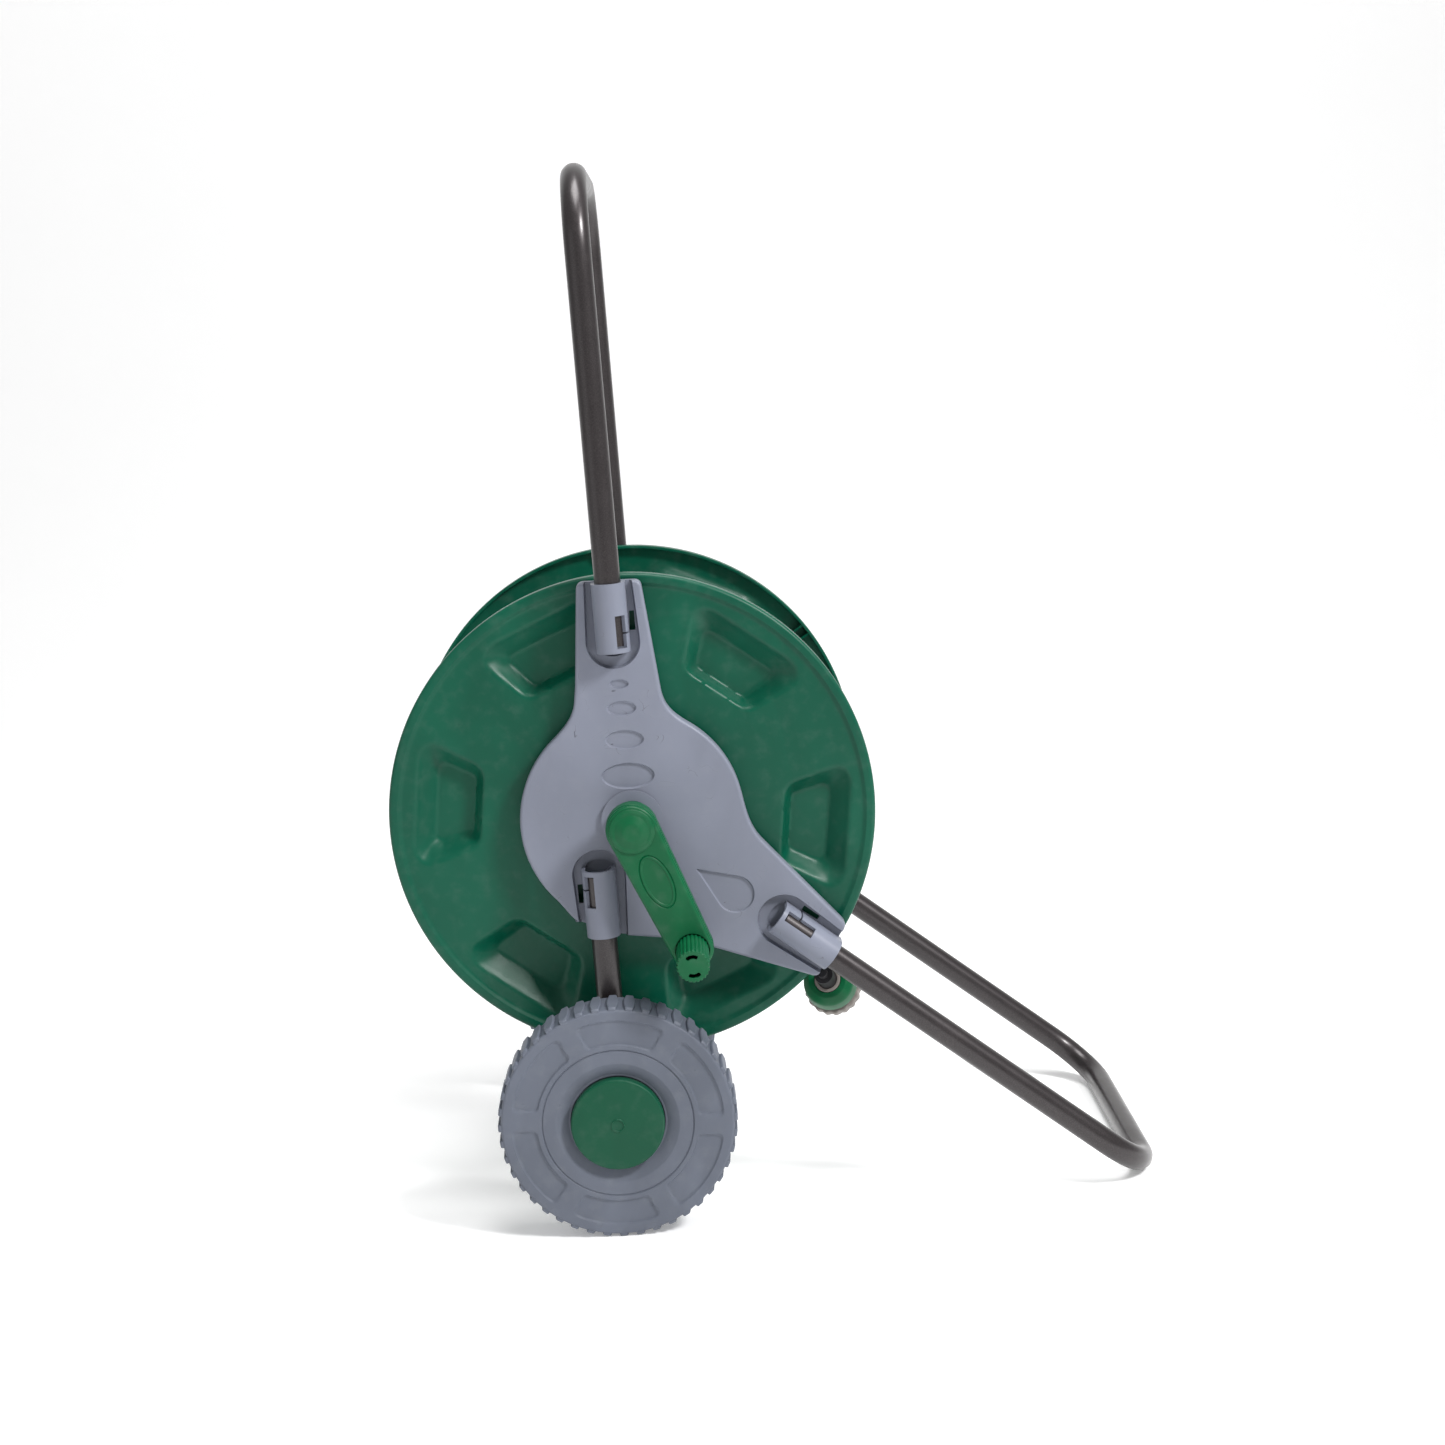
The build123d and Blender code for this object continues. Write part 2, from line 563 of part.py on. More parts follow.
def core_panel(direction):
    """Quarter of the drum's core, centred on a direction in degrees seen from the inlet side."""
    with BuildPart() as panel:
        with BuildSketch(side_plane(BACK_OF_WELL, INLET)):
            Circle(CORE_R)
            Circle(CORE_R - CORE_WALL, mode=Mode.SUBTRACT)
        extrude(amount=-2 * BACK_OF_WELL)
        for side in (CRANK, INLET):
            with BuildSketch(side_plane(BACK_OF_WELL - 10, side)) as screw_posts:
                with PolarLocations(CORE_SCREW_R, CORE_SCREWS, start_angle=CORE_SCREW_TURN):
                    Circle(4)
                    Circle(1.75, mode=Mode.SUBTRACT)
                    with Locations((5, 0)):
                        Rectangle(4, 3)
            extrude(screw_posts.sketch, amount=-22)
        with BuildSketch(side_plane(0, INLET)) as webs:
            Circle(CORE_R - CORE_WALL + 0.5)
            Circle(CORE_R - CORE_WALL - 12, mode=Mode.SUBTRACT)
        extrude(webs.sketch, amount=3, both=True)
        port = Plane(origin=(REEL_X, DRUM_Y + OUTLET_DEPTH, AXIS_HEIGHT), z_dir=(0, 0, 1))
        peg(port, OUTLET_PORT_R, CORE_R + 5, mode=Mode.SUBTRACT)
        with BuildSketch(side_plane(BACK_OF_WELL, INLET)) as quarter:
            with Locations(Rotation(0, 0, direction - 45)):
                with Locations((CORE_SEAM / 2, CORE_SEAM / 2)):
                    Rectangle(CORE_R + 5, CORE_R + 5, align=(Align.MIN, Align.MIN))
        extrude(quarter.sketch, amount=-2 * BACK_OF_WELL, mode=Mode.INTERSECT)
    return panel


finish(core_panel(0), "core_panel_back", GREEN)
finish(core_panel(90), "core_panel_top", GREEN)
finish(core_panel(180), "core_panel_front", GREEN)
finish(core_panel(270), "core_panel_bottom", GREEN)

for side, name in ((CRANK, "drum_screws_crank"), (INLET, "drum_screws_inlet")):
    with BuildPart() as drum_screws:
        with BuildSketch(side_plane(WELL_FLOOR + 0.02, side)) as heads:
            with PolarLocations(CORE_SCREW_R, CORE_SCREWS, start_angle=CORE_SCREW_TURN):
                Circle(3.6)
        extrude(heads.sketch, amount=2.2)
        with BuildSketch(side_plane(WELL_FLOOR + 0.5, side)) as shanks:
            with PolarLocations(CORE_SCREW_R, CORE_SCREWS, start_angle=CORE_SCREW_TURN):
                Circle(1.7)
        extrude(shanks.sketch, amount=-24)
    finish(drum_screws, name, STEEL)

# ---- Bearings of the drum
BUSH_COLLAR = BUSH_TO + 1.6
for side, tag in ((CRANK, "crank"), (INLET, "inlet")):
    with BuildPart() as bearing_bush:
        sleeve = ring(BUSH_FROM, BUSH_COLLAR, JOURNAL_R + RUNNING, BUSH_R)
        collar = ring(BUSH_TO + RUNNING, BUSH_COLLAR, JOURNAL_R + RUNNING, BUSH_R + 4)
        turn(sleeve, axial_plane(side))
        turn(collar, axial_plane(side))
    finish(bearing_bush, f"bearing_bush_{tag}", GREY)
    with BuildPart() as thrust_washer:
        washer = ring(BUSH_FROM - 2.6, BUSH_FROM - 0.4, JOURNAL_R + RUNNING, BUSH_R + 8)
        turn(washer, axial_plane(side))
    finish(thrust_washer, f"thrust_washer_{tag}", BLACK)

with BuildPart() as journal_clip:
    turn(ring(PLATE_FACE + 4, PLATE_FACE + 5.6, JOURNAL_R, JOURNAL_R + 5), axial_plane(INLET))
    with BuildSketch(side_plane(PLATE_FACE, INLET)) as gap:
        with Locations((0, JOURNAL_R + 3)):
            Rectangle(9, 12)
    extrude(gap.sketch, amount=10, mode=Mode.SUBTRACT)
finish(journal_clip, "journal_clip", STEEL)

# ---- Crank
ARM_TIP = (CRANK_R * cos(radians(CRANK_ANGLE)), CRANK_R * sin(radians(CRANK_ANGLE)))
SCREW_R = 2.4


def arm_outline(depth, inset):
    """Outline of the crank arm: the hull of its hub and its tip."""
    with BuildSketch(side_plane(depth)) as outline:
        Circle(CRANK_HUB_R - inset)
        with Locations(ARM_TIP):
            Circle(CRANK_TIP_R - inset)
        make_hull()
    return outline.sketch


with BuildPart() as crank_arm:
    extrude(arm_outline(CRANK_BACK, 0), amount=CRANK_SPLIT - CRANK_BACK)
    extrude(arm_outline(CRANK_BACK, 2.5), amount=CRANK_SPLIT - CRANK_BACK - 2.5, mode=Mode.SUBTRACT)
    peg(side_plane(CRANK_BACK), CRANK_HUB_R - 1, CRANK_SPLIT - CRANK_BACK - 1)
    peg(side_plane(CRANK_BACK, x=KNOB_X, z=KNOB_Z), SPINDLE_R + 5, CRANK_SPLIT - CRANK_BACK - 1)
    peg(side_plane(CRANK_BACK + 1), JOURNAL_BORE - 0.02, -28)
    peg(side_plane(CRANK_BACK - 30), SCREW_R + 0.02, 60, mode=Mode.SUBTRACT)
    peg(side_plane(CRANK_BACK + 6), 6, 20, mode=Mode.SUBTRACT)
    peg(side_plane(CRANK_BACK + 4, x=KNOB_X, z=KNOB_Z), SPINDLE_R + 0.02, 20, mode=Mode.SUBTRACT)
finish(crank_arm, "crank_arm", GREEN)

with BuildPart() as crank_screw:
    peg(side_plane(CRANK_BACK + 6.02), 5, 3.2)
    peg(side_plane(CRANK_BACK + 7), SCREW_R, -30)
    with BuildSketch(side_plane(CRANK_BACK + 7.5)) as cross:
        Rectangle(5, 1)
        Rectangle(1, 5)
    extrude(cross.sketch, amount=3, mode=Mode.SUBTRACT)
finish(crank_screw, "crank_screw", STEEL)

with BuildPart() as crank_cover:
    extrude(arm_outline(CRANK_SPLIT + 0.1, 0.4), amount=5)
    turn(
        [
            (CRANK_SPLIT + 3, 0),
            (CRANK_SPLIT + 3, CRANK_HUB_R - 0.4),
            (CRANK_SPLIT + 6, CRANK_HUB_R - 0.8),
            (CRANK_SPLIT + 8, CRANK_HUB_R - 3),
            (CRANK_SPLIT + 9, CRANK_HUB_R - 7),
            (CRANK_SPLIT + 11, 0),
        ],
        axial_plane(),
    )
    peg(side_plane(CRANK_SPLIT), 8, 5, mode=Mode.SUBTRACT)
    peg(side_plane(CRANK_SPLIT - 1, x=KNOB_X, z=KNOB_Z), KNOB_R + 0.7, 12, mode=Mode.SUBTRACT)
    with BuildSketch(side_plane(CRANK_SPLIT + 4.5)) as oval:
        with Locations(Location((0.42 * ARM_TIP[0], 0.42 * ARM_TIP[1]), CRANK_ANGLE)):
            Ellipse(22, 11)
            Ellipse(20.8, 9.8, mode=Mode.SUBTRACT)
    extrude(oval.sketch, amount=2, mode=Mode.SUBTRACT)
finish(crank_cover, "crank_cover", GREEN)

with BuildPart() as knob_spindle:
    peg(side_plane(CRANK_BACK + 4.2, x=KNOB_X, z=KNOB_Z), SPINDLE_R, KNOB_REACH - CRANK_BACK - 12)
    peg(side_plane(CRANK_SPLIT + 0.05, x=KNOB_X, z=KNOB_Z), SPINDLE_R + 3, 2)
finish(knob_spindle, "knob_spindle", STEEL)

with BuildPart() as crank_knob:
    peg(side_plane(KNOB_BACK, x=KNOB_X, z=KNOB_Z), KNOB_R, KNOB_REACH - KNOB_BACK)
    fillet(crank_knob.edges().sort_by(Axis.Y)[0], radius=1.5)
    with BuildSketch(side_plane(KNOB_BACK + 1, x=KNOB_X, z=KNOB_Z)) as flutes:
        with PolarLocations(KNOB_R + 0.3, 24):
            Circle(0.9)
    extrude(flutes.sketch, amount=KNOB_REACH - KNOB_BACK - 5, mode=Mode.SUBTRACT)
    with BuildSketch(side_plane(KNOB_BACK - 1, x=KNOB_X, z=KNOB_Z)) as bore:
        Circle(SPINDLE_R + RUNNING)
    extrude(bore.sketch, amount=KNOB_REACH - KNOB_BACK - 3, mode=Mode.SUBTRACT)
    with BuildSketch(side_plane(KNOB_REACH - 2.5, x=KNOB_X, z=KNOB_Z)) as crescents:
        Circle(8.6)
        Circle(5.2, mode=Mode.SUBTRACT)
        with Locations((-8.5, 0), (8.5, 0)):
            Rectangle(8.5, 20, mode=Mode.SUBTRACT)
    extrude(crescents.sketch, amount=4, mode=Mode.SUBTRACT)
finish(crank_knob, "crank_knob", GREEN)

# ---- Water path inside the drum
OUTLET_UP = Plane(origin=(REEL_X, DRUM_Y + OUTLET_DEPTH, AXIS_HEIGHT), x_dir=(0, 0, 1), z_dir=(0, 1, 0))
WATER_R = 5.0
BRANCH_WATER_R = 4.6

with BuildPart() as outlet_elbow:
    turn(
        [
            (OUTLET_DEPTH - 10, 0),
            (OUTLET_DEPTH - 10, 10),
            (JOURNAL_INNER - 2, 10),
            (JOURNAL_INNER - 2, JOURNAL_BORE - 0.1),
            (104, JOURNAL_BORE - 0.1),
            (104, 0),
        ],
        axial_plane(INLET),
    )
    turn(
        [
            (0, 0),
            (0, 9),
            (CORE_R - 14, 9),
            (CORE_R - 14, 14),
            (CORE_R - 10, 14),
            (CORE_R - 10, OUTLET_PORT_R - 0.5),
            (CORE_R + 3, OUTLET_PORT_R - 0.5),
            (CORE_R + 3, 0),
        ],
        OUTLET_UP,
    )
    turn(ring(OUTLET_DEPTH - 5.5, 105, 0, WATER_R), axial_plane(INLET), mode=Mode.SUBTRACT)
    turn(ring(0, CORE_R - 8, 0, BRANCH_WATER_R), OUTLET_UP, mode=Mode.SUBTRACT)
    turn(ring(CORE_R - 12, CORE_R + 4, 0, 7), OUTLET_UP, mode=Mode.SUBTRACT)
    turn(ring(93, 96.6, 10.2, 12.5), axial_plane(INLET), mode=Mode.SUBTRACT)
finish(outlet_elbow, "outlet_elbow", BLACK)

with BuildPart() as outlet_o_ring:
    turn(ring(93.2, 96.4, 10.25, 11.95), axial_plane(INLET))
finish(outlet_o_ring, "outlet_o_ring", BLACK)

with BuildPart() as hose_tail:
    turn(
        [
            (CORE_R - 11.5, 4),
            (CORE_R - 11.5, 6.95),
            (CORE_R + 3.2, 6.95),
            (CORE_R + 3.2, 9),
            (CORE_R + 8, 9),
            (CORE_R + 8, 6.2),
            (CORE_R + 13, 7.2),
            (CORE_R + 13, 6.2),
            (CORE_R + 18, 7.2),
            (CORE_R + 18, 6.2),
            (CORE_R + 24, 6.9),
            (CORE_R + 26, 5.8),
            (CORE_R + 26, 4),
        ],
        OUTLET_UP,
    )
finish(hose_tail, "hose_tail", BLACK)

# ---- Water inlet
INLET_AXIS = axial_plane(INLET)
INLET_DOWN = Plane(origin=(REEL_X, DRUM_Y + INLET_DEPTH, AXIS_HEIGHT), x_dir=(0, 0, -1), z_dir=(0, 1, 0))
NIPPLE_R = 7.8
NIPPLE_FROM = 36.0
NIPPLE_END = 66.0

with BuildPart() as inlet_elbow:
    turn(
        [
            (108, 0),
            (108, JOURNAL_BORE - RUNNING),
            (INLET_JOURNAL_END + 1, JOURNAL_BORE - RUNNING),
            (INLET_JOURNAL_END + 1, 17),
            (INLET_JOURNAL_END + 5, 17),
            (INLET_JOURNAL_END + 5, 13),
            (INLET_DEPTH + 8, 13),
            (INLET_DEPTH + 12, 10),
            (INLET_DEPTH + 13, 0),
        ],
        INLET_AXIS,
    )
    turn([(0, 0), (0, 11.4), (30, 11.4), (31, 10.6), (36, 10.6), (36, 0)], INLET_DOWN)
    turn(ring(107, INLET_DEPTH + 5.5, 0, WATER_R), INLET_AXIS, mode=Mode.SUBTRACT)
    turn(ring(0, 40, 0, BRANCH_WATER_R), INLET_DOWN, mode=Mode.SUBTRACT)
    turn(ring(24, 40, 0, 6.5), INLET_DOWN, mode=Mode.SUBTRACT)
    turn(ring(113, 116.6, 10.2, 12.5), INLET_AXIS, mode=Mode.SUBTRACT)
    turn(ring(121, 124.6, 10.2, 12.5), INLET_AXIS, mode=Mode.SUBTRACT)
finish(inlet_elbow, "inlet_elbow", GREEN)

with BuildPart() as inlet_o_rings:
    for near in (113.2, 121.2):
        turn(ring(near, near + 3.2, 10.25, JOURNAL_BORE - RUNNING), INLET_AXIS)
finish(inlet_o_rings, "inlet_o_rings", BLACK)

with BuildPart() as inlet_nipple:
    turn(
        [
            (24.5, 4),
            (24.5, 6.45),
            (NIPPLE_FROM + 0.1, 6.45),
            (NIPPLE_FROM + 0.1, 10.5),
            (NIPPLE_FROM + 5, 10.5),
            (NIPPLE_FROM + 5, NIPPLE_R),
            (52, NIPPLE_R),
            (52, 6.4),
            (55, 6.4),
            (55, NIPPLE_R),
            (59, NIPPLE_R),
            (NIPPLE_END, 6.2),
            (NIPPLE_END, 4),
        ],
        INLET_DOWN,
    )
finish(inlet_nipple, "inlet_nipple", BLACK)

with BuildPart() as nipple_seal:
    turn(ring(52.2, 54.8, 6.45, 7.7), INLET_DOWN)
finish(nipple_seal, "nipple_seal", BLACK)

# ---- Parked hose connector, along the spigot's axis
with BuildPart() as parking_spigot:
    turn(
        [
            (-SPIGOT_TAIL, 0),
            (-SPIGOT_TAIL, SPIGOT_TAIL_R),
            (1.1, SPIGOT_TAIL_R),
            (1.1, SPIGOT_R),
            (SPIGOT_END - 3, SPIGOT_R),
            (SPIGOT_END, SPIGOT_R - 1.4),
            (SPIGOT_END, 0),
        ],
        SPIGOT_AXIS,
    )
finish(parking_spigot, "parking_spigot", BLACK)

MOUTH_AT = 18.0  # the connector's mouth along the spigot

with BuildPart() as connector_body:
    turn(
        [
            (MOUTH_AT, 7.6),
            (MOUTH_AT, 10.4),
            (MOUTH_AT + 18, 10.4),
            (MOUTH_AT + 18, 15),
            (MOUTH_AT + 22, 15),
            (MOUTH_AT + 22, 11),
            (MOUTH_AT + 46, 11),
            (MOUTH_AT + 46, 6),
            (MOUTH_AT + 20, 6),
            (MOUTH_AT + 20, 7.6),
        ],
        SPIGOT_AXIS,
    )
finish(connector_body, "connector_body", GREY)

with BuildPart() as connector_sleeve:
    turn(
        [
            (MOUTH_AT + 0.6, 10.8),
            (MOUTH_AT + 0.6, 15),
            (MOUTH_AT + 2, 18),
            (MOUTH_AT + 5, 20.3),
            (MOUTH_AT + 10, 21.4),
            (MOUTH_AT + 17, 21.6),
            (MOUTH_AT + 17, 15.6),
            (MOUTH_AT + 9, 15.6),
            (MOUTH_AT + 9, 10.8),
        ],
        SPIGOT_AXIS,
    )
finish(connector_sleeve, "connector_sleeve", GREEN)

with BuildPart() as connector_spring:
    turn(ring(MOUTH_AT + 13.4, MOUTH_AT + 17.8, 13.4, 15.1), SPIGOT_AXIS)  # at its compressed length
finish(connector_spring, "connector_spring", STEEL)

with BuildPart() as connector_nut:
    turn(
        [
            (MOUTH_AT + 22.2, 11.3),
            (MOUTH_AT + 22.2, 23),
            (MOUTH_AT + 30, 23),
            (MOUTH_AT + 44, 19),
            (MOUTH_AT + 50, 15),
            (MOUTH_AT + 50, 9),
            (MOUTH_AT + 47, 9),
            (MOUTH_AT + 47, 11.3),
        ],
        SPIGOT_AXIS,
    )
    with BuildSketch(spigot_plane(MOUTH_AT + 22)) as grips:
        with PolarLocations(24.6, 18):
            Circle(2.2)
    extrude(grips.sketch, amount=20, mode=Mode.SUBTRACT)
finish(connector_nut, "connector_nut", GREY)

with BuildPart() as connector_seal:
    turn(ring(MOUTH_AT + 14, MOUTH_AT + 16, 7.45, 7.58), SPIGOT_AXIS)
finish(connector_seal, "connector_seal", BLACK)
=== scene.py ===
"""Looks of the garden hose reel cart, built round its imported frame.

Lengths in the classes are in millimetres and are turned into metres when a piece is placed. A seat gives a
piece its own axes: local x and y across, and a depth that runs outwards from the drum's mid plane.
"""

import json
import logging
import math
from collections.abc import Callable, Sequence
from dataclasses import dataclass, field
from enum import Enum

import bmesh
import bpy
import numpy as np
from mathutils import Matrix, Vector
from mathutils.geometry import delaunay_2d_cdt


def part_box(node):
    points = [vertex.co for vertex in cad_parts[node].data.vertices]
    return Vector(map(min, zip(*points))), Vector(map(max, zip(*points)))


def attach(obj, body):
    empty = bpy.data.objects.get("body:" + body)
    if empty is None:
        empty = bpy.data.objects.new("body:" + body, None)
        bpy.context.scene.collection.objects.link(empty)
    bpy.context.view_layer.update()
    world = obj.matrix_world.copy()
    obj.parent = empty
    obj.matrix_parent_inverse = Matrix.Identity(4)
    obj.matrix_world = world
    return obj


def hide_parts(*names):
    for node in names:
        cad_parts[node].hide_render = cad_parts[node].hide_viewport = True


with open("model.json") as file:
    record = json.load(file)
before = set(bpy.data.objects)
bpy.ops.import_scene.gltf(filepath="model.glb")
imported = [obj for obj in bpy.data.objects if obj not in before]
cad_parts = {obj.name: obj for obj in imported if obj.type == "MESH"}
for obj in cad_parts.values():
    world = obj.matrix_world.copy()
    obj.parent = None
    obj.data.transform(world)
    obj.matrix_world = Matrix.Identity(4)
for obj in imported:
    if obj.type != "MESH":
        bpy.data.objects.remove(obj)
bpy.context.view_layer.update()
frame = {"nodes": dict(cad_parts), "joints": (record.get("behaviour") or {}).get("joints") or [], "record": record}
MM = 0.001
JOINTS = {joint["name"]: joint for joint in frame["joints"]}
REEL = Vector(JOINTS["drum_spin"]["pos_m"])
AXLE = Vector(JOINTS["near_wheel_spin"]["pos_m"])
SLEEVE_WAY = Vector(JOINTS["sleeve_slide"]["axis"]).normalized()
log = logging.getLogger("hose_cart")


class Side(Enum):
    """A side of the drum's mid plane."""

    CRANK = -1
    INLET = 1


class Sunk(Enum):
    """What a feature on a moulded face is."""

    FLOOR = "flat floor with soft walls"
    GROOVE = "thin line along its outline"


# ---- Places and outlines
@dataclass(frozen=True)
class Seat:
    """A piece's own axes in the frame."""

    origin: Vector
    across: Vector
    up: Vector
    out: Vector

    def place(self, points: np.ndarray) -> np.ndarray:
        """Turns local millimetres into the frame's metres."""
        axes = np.array([self.across, self.up, self.out])
        return np.array(self.origin) + (np.asarray(points, float) * MM) @ axes

    def turn(self) -> Matrix:
        """Rotation from the local axes to the frame's, for a right-handed seat."""
        return Matrix((self.across, self.up, self.out)).transposed()


def side_seat(side: Side, origin: Vector = REEL, mirrored: bool = False) -> Seat:
    """Seat on a side of the drum.

    Args:
        side: The side that the depth points to.
        origin: A point on the axis, in the mid plane.
        mirrored: Whether the piece is the mirror image of the crank side's, instead of a turned copy.

    Returns:
        A seat whose depth runs outwards and whose local y is up.
    """
    across = 1 if mirrored else -side.value
    return Seat(origin, Vector((across, 0, 0)), Vector((0, 0, 1)), Vector((0, side.value, 0)))


def axis_seat(origin: Vector, out: Vector) -> Seat:
    """Seat round any axis, with its local y as near to up as it can be."""
    across = out.cross(Vector((0, 0, 1))).normalized() * -1
    return Seat(origin, across, out.cross(across).normalized(), out)


def rounded(
    corners: Sequence[tuple[float, float]], radii: Sequence[float], closed: bool = True
) -> np.ndarray:
    """Polyline with arcs at its corners.

    Args:
        corners: The sharp corners, in order.
        radii: One radius for each corner, 0 for a sharp one.
        closed: Whether the last corner joins the first.

    Returns:
        The points of the rounded line.
    """
    points = np.asarray(corners, float)
    count = len(points)
    line = []
    for i, radius in enumerate(radii):
        here = points[i]
        if radius <= 0 or (not closed and i in (0, count - 1)):
            line.append(here)
            continue
        back, ahead = points[i - 1] - here, points[(i + 1) % count] - here
        reach_back, reach_ahead = np.linalg.norm(back), np.linalg.norm(ahead)
        back, ahead = back / reach_back, ahead / reach_ahead
        half = math.acos(np.clip(back @ ahead, -1, 1)) / 2
        run = min(radius / math.tan(half), 0.49 * reach_back, 0.49 * reach_ahead)
        steps = max(3, int((math.pi - 2 * half) / 0.16))
        middle = here + (back + ahead) / np.linalg.norm(back + ahead) * run / math.cos(half)
        start, end = here + back * run - middle, here + ahead * run - middle
        sweep = math.atan2(start[0] * end[1] - start[1] * end[0], start @ end)
        for k in range(steps + 1):
            c, s = math.cos(sweep * k / steps), math.sin(sweep * k / steps)
            line.append(middle + (start[0] * c - start[1] * s, start[0] * s + start[1] * c))
    return np.array(line)


def evened(loop: np.ndarray, step: float) -> np.ndarray:
    """The same closed loop with points a step apart."""
    ring = np.vstack([loop, loop[:1]])
    reach = np.concatenate([[0], np.cumsum(np.linalg.norm(np.diff(ring, axis=0), axis=1))])
    at = np.linspace(0, reach[-1], max(12, int(reach[-1] / step)), endpoint=False)
    return np.column_stack([np.interp(at, reach, ring[:, 0]), np.interp(at, reach, ring[:, 1])])


def refined(line: np.ndarray, step_of: Callable[[np.ndarray, np.ndarray], float]) -> np.ndarray:
    """The closed line with extra points on some of its runs.

    Args:
        line: The points.
        step_of: Gives the step to use between two points, or 0 to leave the run as it is.

    Returns:
        The points with the extra ones between them.
    """
    filled = []
    for here, there in zip(line, np.roll(line, -1, 0)):
        filled.append(here)
        step = step_of(here, there)
        parts = int(np.linalg.norm(there - here) / step) if step else 1
        filled.extend(here + (there - here) * k / parts for k in range(1, parts))
    return np.array(filled)


def turns_of(steps: int) -> np.ndarray:
    """Equal angles round a full turn."""
    return np.arange(steps) * 2 * math.pi / steps


def polar(radii: np.ndarray, angles: np.ndarray) -> np.ndarray:
    """Points at every pair of an angle and a radius: rows of angles, columns of radii."""
    return np.stack([np.outer(np.cos(angles), radii), np.outer(np.sin(angles), radii)], -1)


def on_sector(radii: np.ndarray, angles: np.ndarray, centre: float, copies: int) -> np.ndarray:
    """Points on the axes of the nearest of the equal sectors round a wheel.

    Args:
        radii: The points' radii.
        angles: The points' angles.
        centre: Angle of the middle of one sector.
        copies: How many sectors there are.

    Returns:
        The points, with local x along the middle of their sector.
    """
    pitch = 2 * math.pi / copies
    home = (angles - centre + pitch / 2) % pitch - pitch / 2
    return polar(radii, home)


def ellipse(centre: tuple[float, float], half_x: float, half_y: float, turn: float = 0) -> np.ndarray:
    """Anticlockwise ellipse; turn is in degrees."""
    angle = np.linspace(0, 2 * math.pi, 72, endpoint=False)
    x, y = half_x * np.cos(angle), half_y * np.sin(angle)
    c, s = math.cos(math.radians(turn)), math.sin(math.radians(turn))
    return np.column_stack([centre[0] + x * c - y * s, centre[1] + x * s + y * c])


def inset(loop: np.ndarray, amount: float) -> np.ndarray:
    """The loop moved inwards by an amount; the loop is anticlockwise."""
    along = np.roll(loop, -1, 0) - np.roll(loop, 1, 0)
    along /= np.linalg.norm(along, axis=1)[:, None]
    return loop + amount * np.column_stack([-along[:, 1], along[:, 0]])


def depth_inside(points: np.ndarray, loop: np.ndarray) -> np.ndarray:
    """Distance from each point to a closed loop, positive inside it."""
    start, end = loop, np.roll(loop, -1, 0)
    run = end - start
    length2 = np.maximum((run**2).sum(1), 1e-12)
    result = np.empty(len(points))
    for first in range(0, len(points), 4000):
        p = points[first : first + 4000, None, :]
        share = np.clip(((p - start) * run).sum(2) / length2, 0, 1)
        near = np.sqrt(((p - start - share[..., None] * run) ** 2).sum(2)).min(1)
        above = (start[:, 1] > p[..., 1]) != (end[:, 1] > p[..., 1])
        rise = np.where(np.abs(run[:, 1]) < 1e-12, 1e-12, run[:, 1])
        crossing = start[:, 0] + (p[..., 1] - start[:, 1]) / rise * run[:, 0]
        odd = (above & (p[..., 0] < crossing)).sum(1) % 2 == 1
        result[first : first + 4000] = np.where(odd, near, -near)
    return result


def eased(share: np.ndarray) -> np.ndarray:
    """Smooth step from 0 to 1."""
    share = np.clip(share, 0, 1)
    return share * share * (3 - 2 * share)


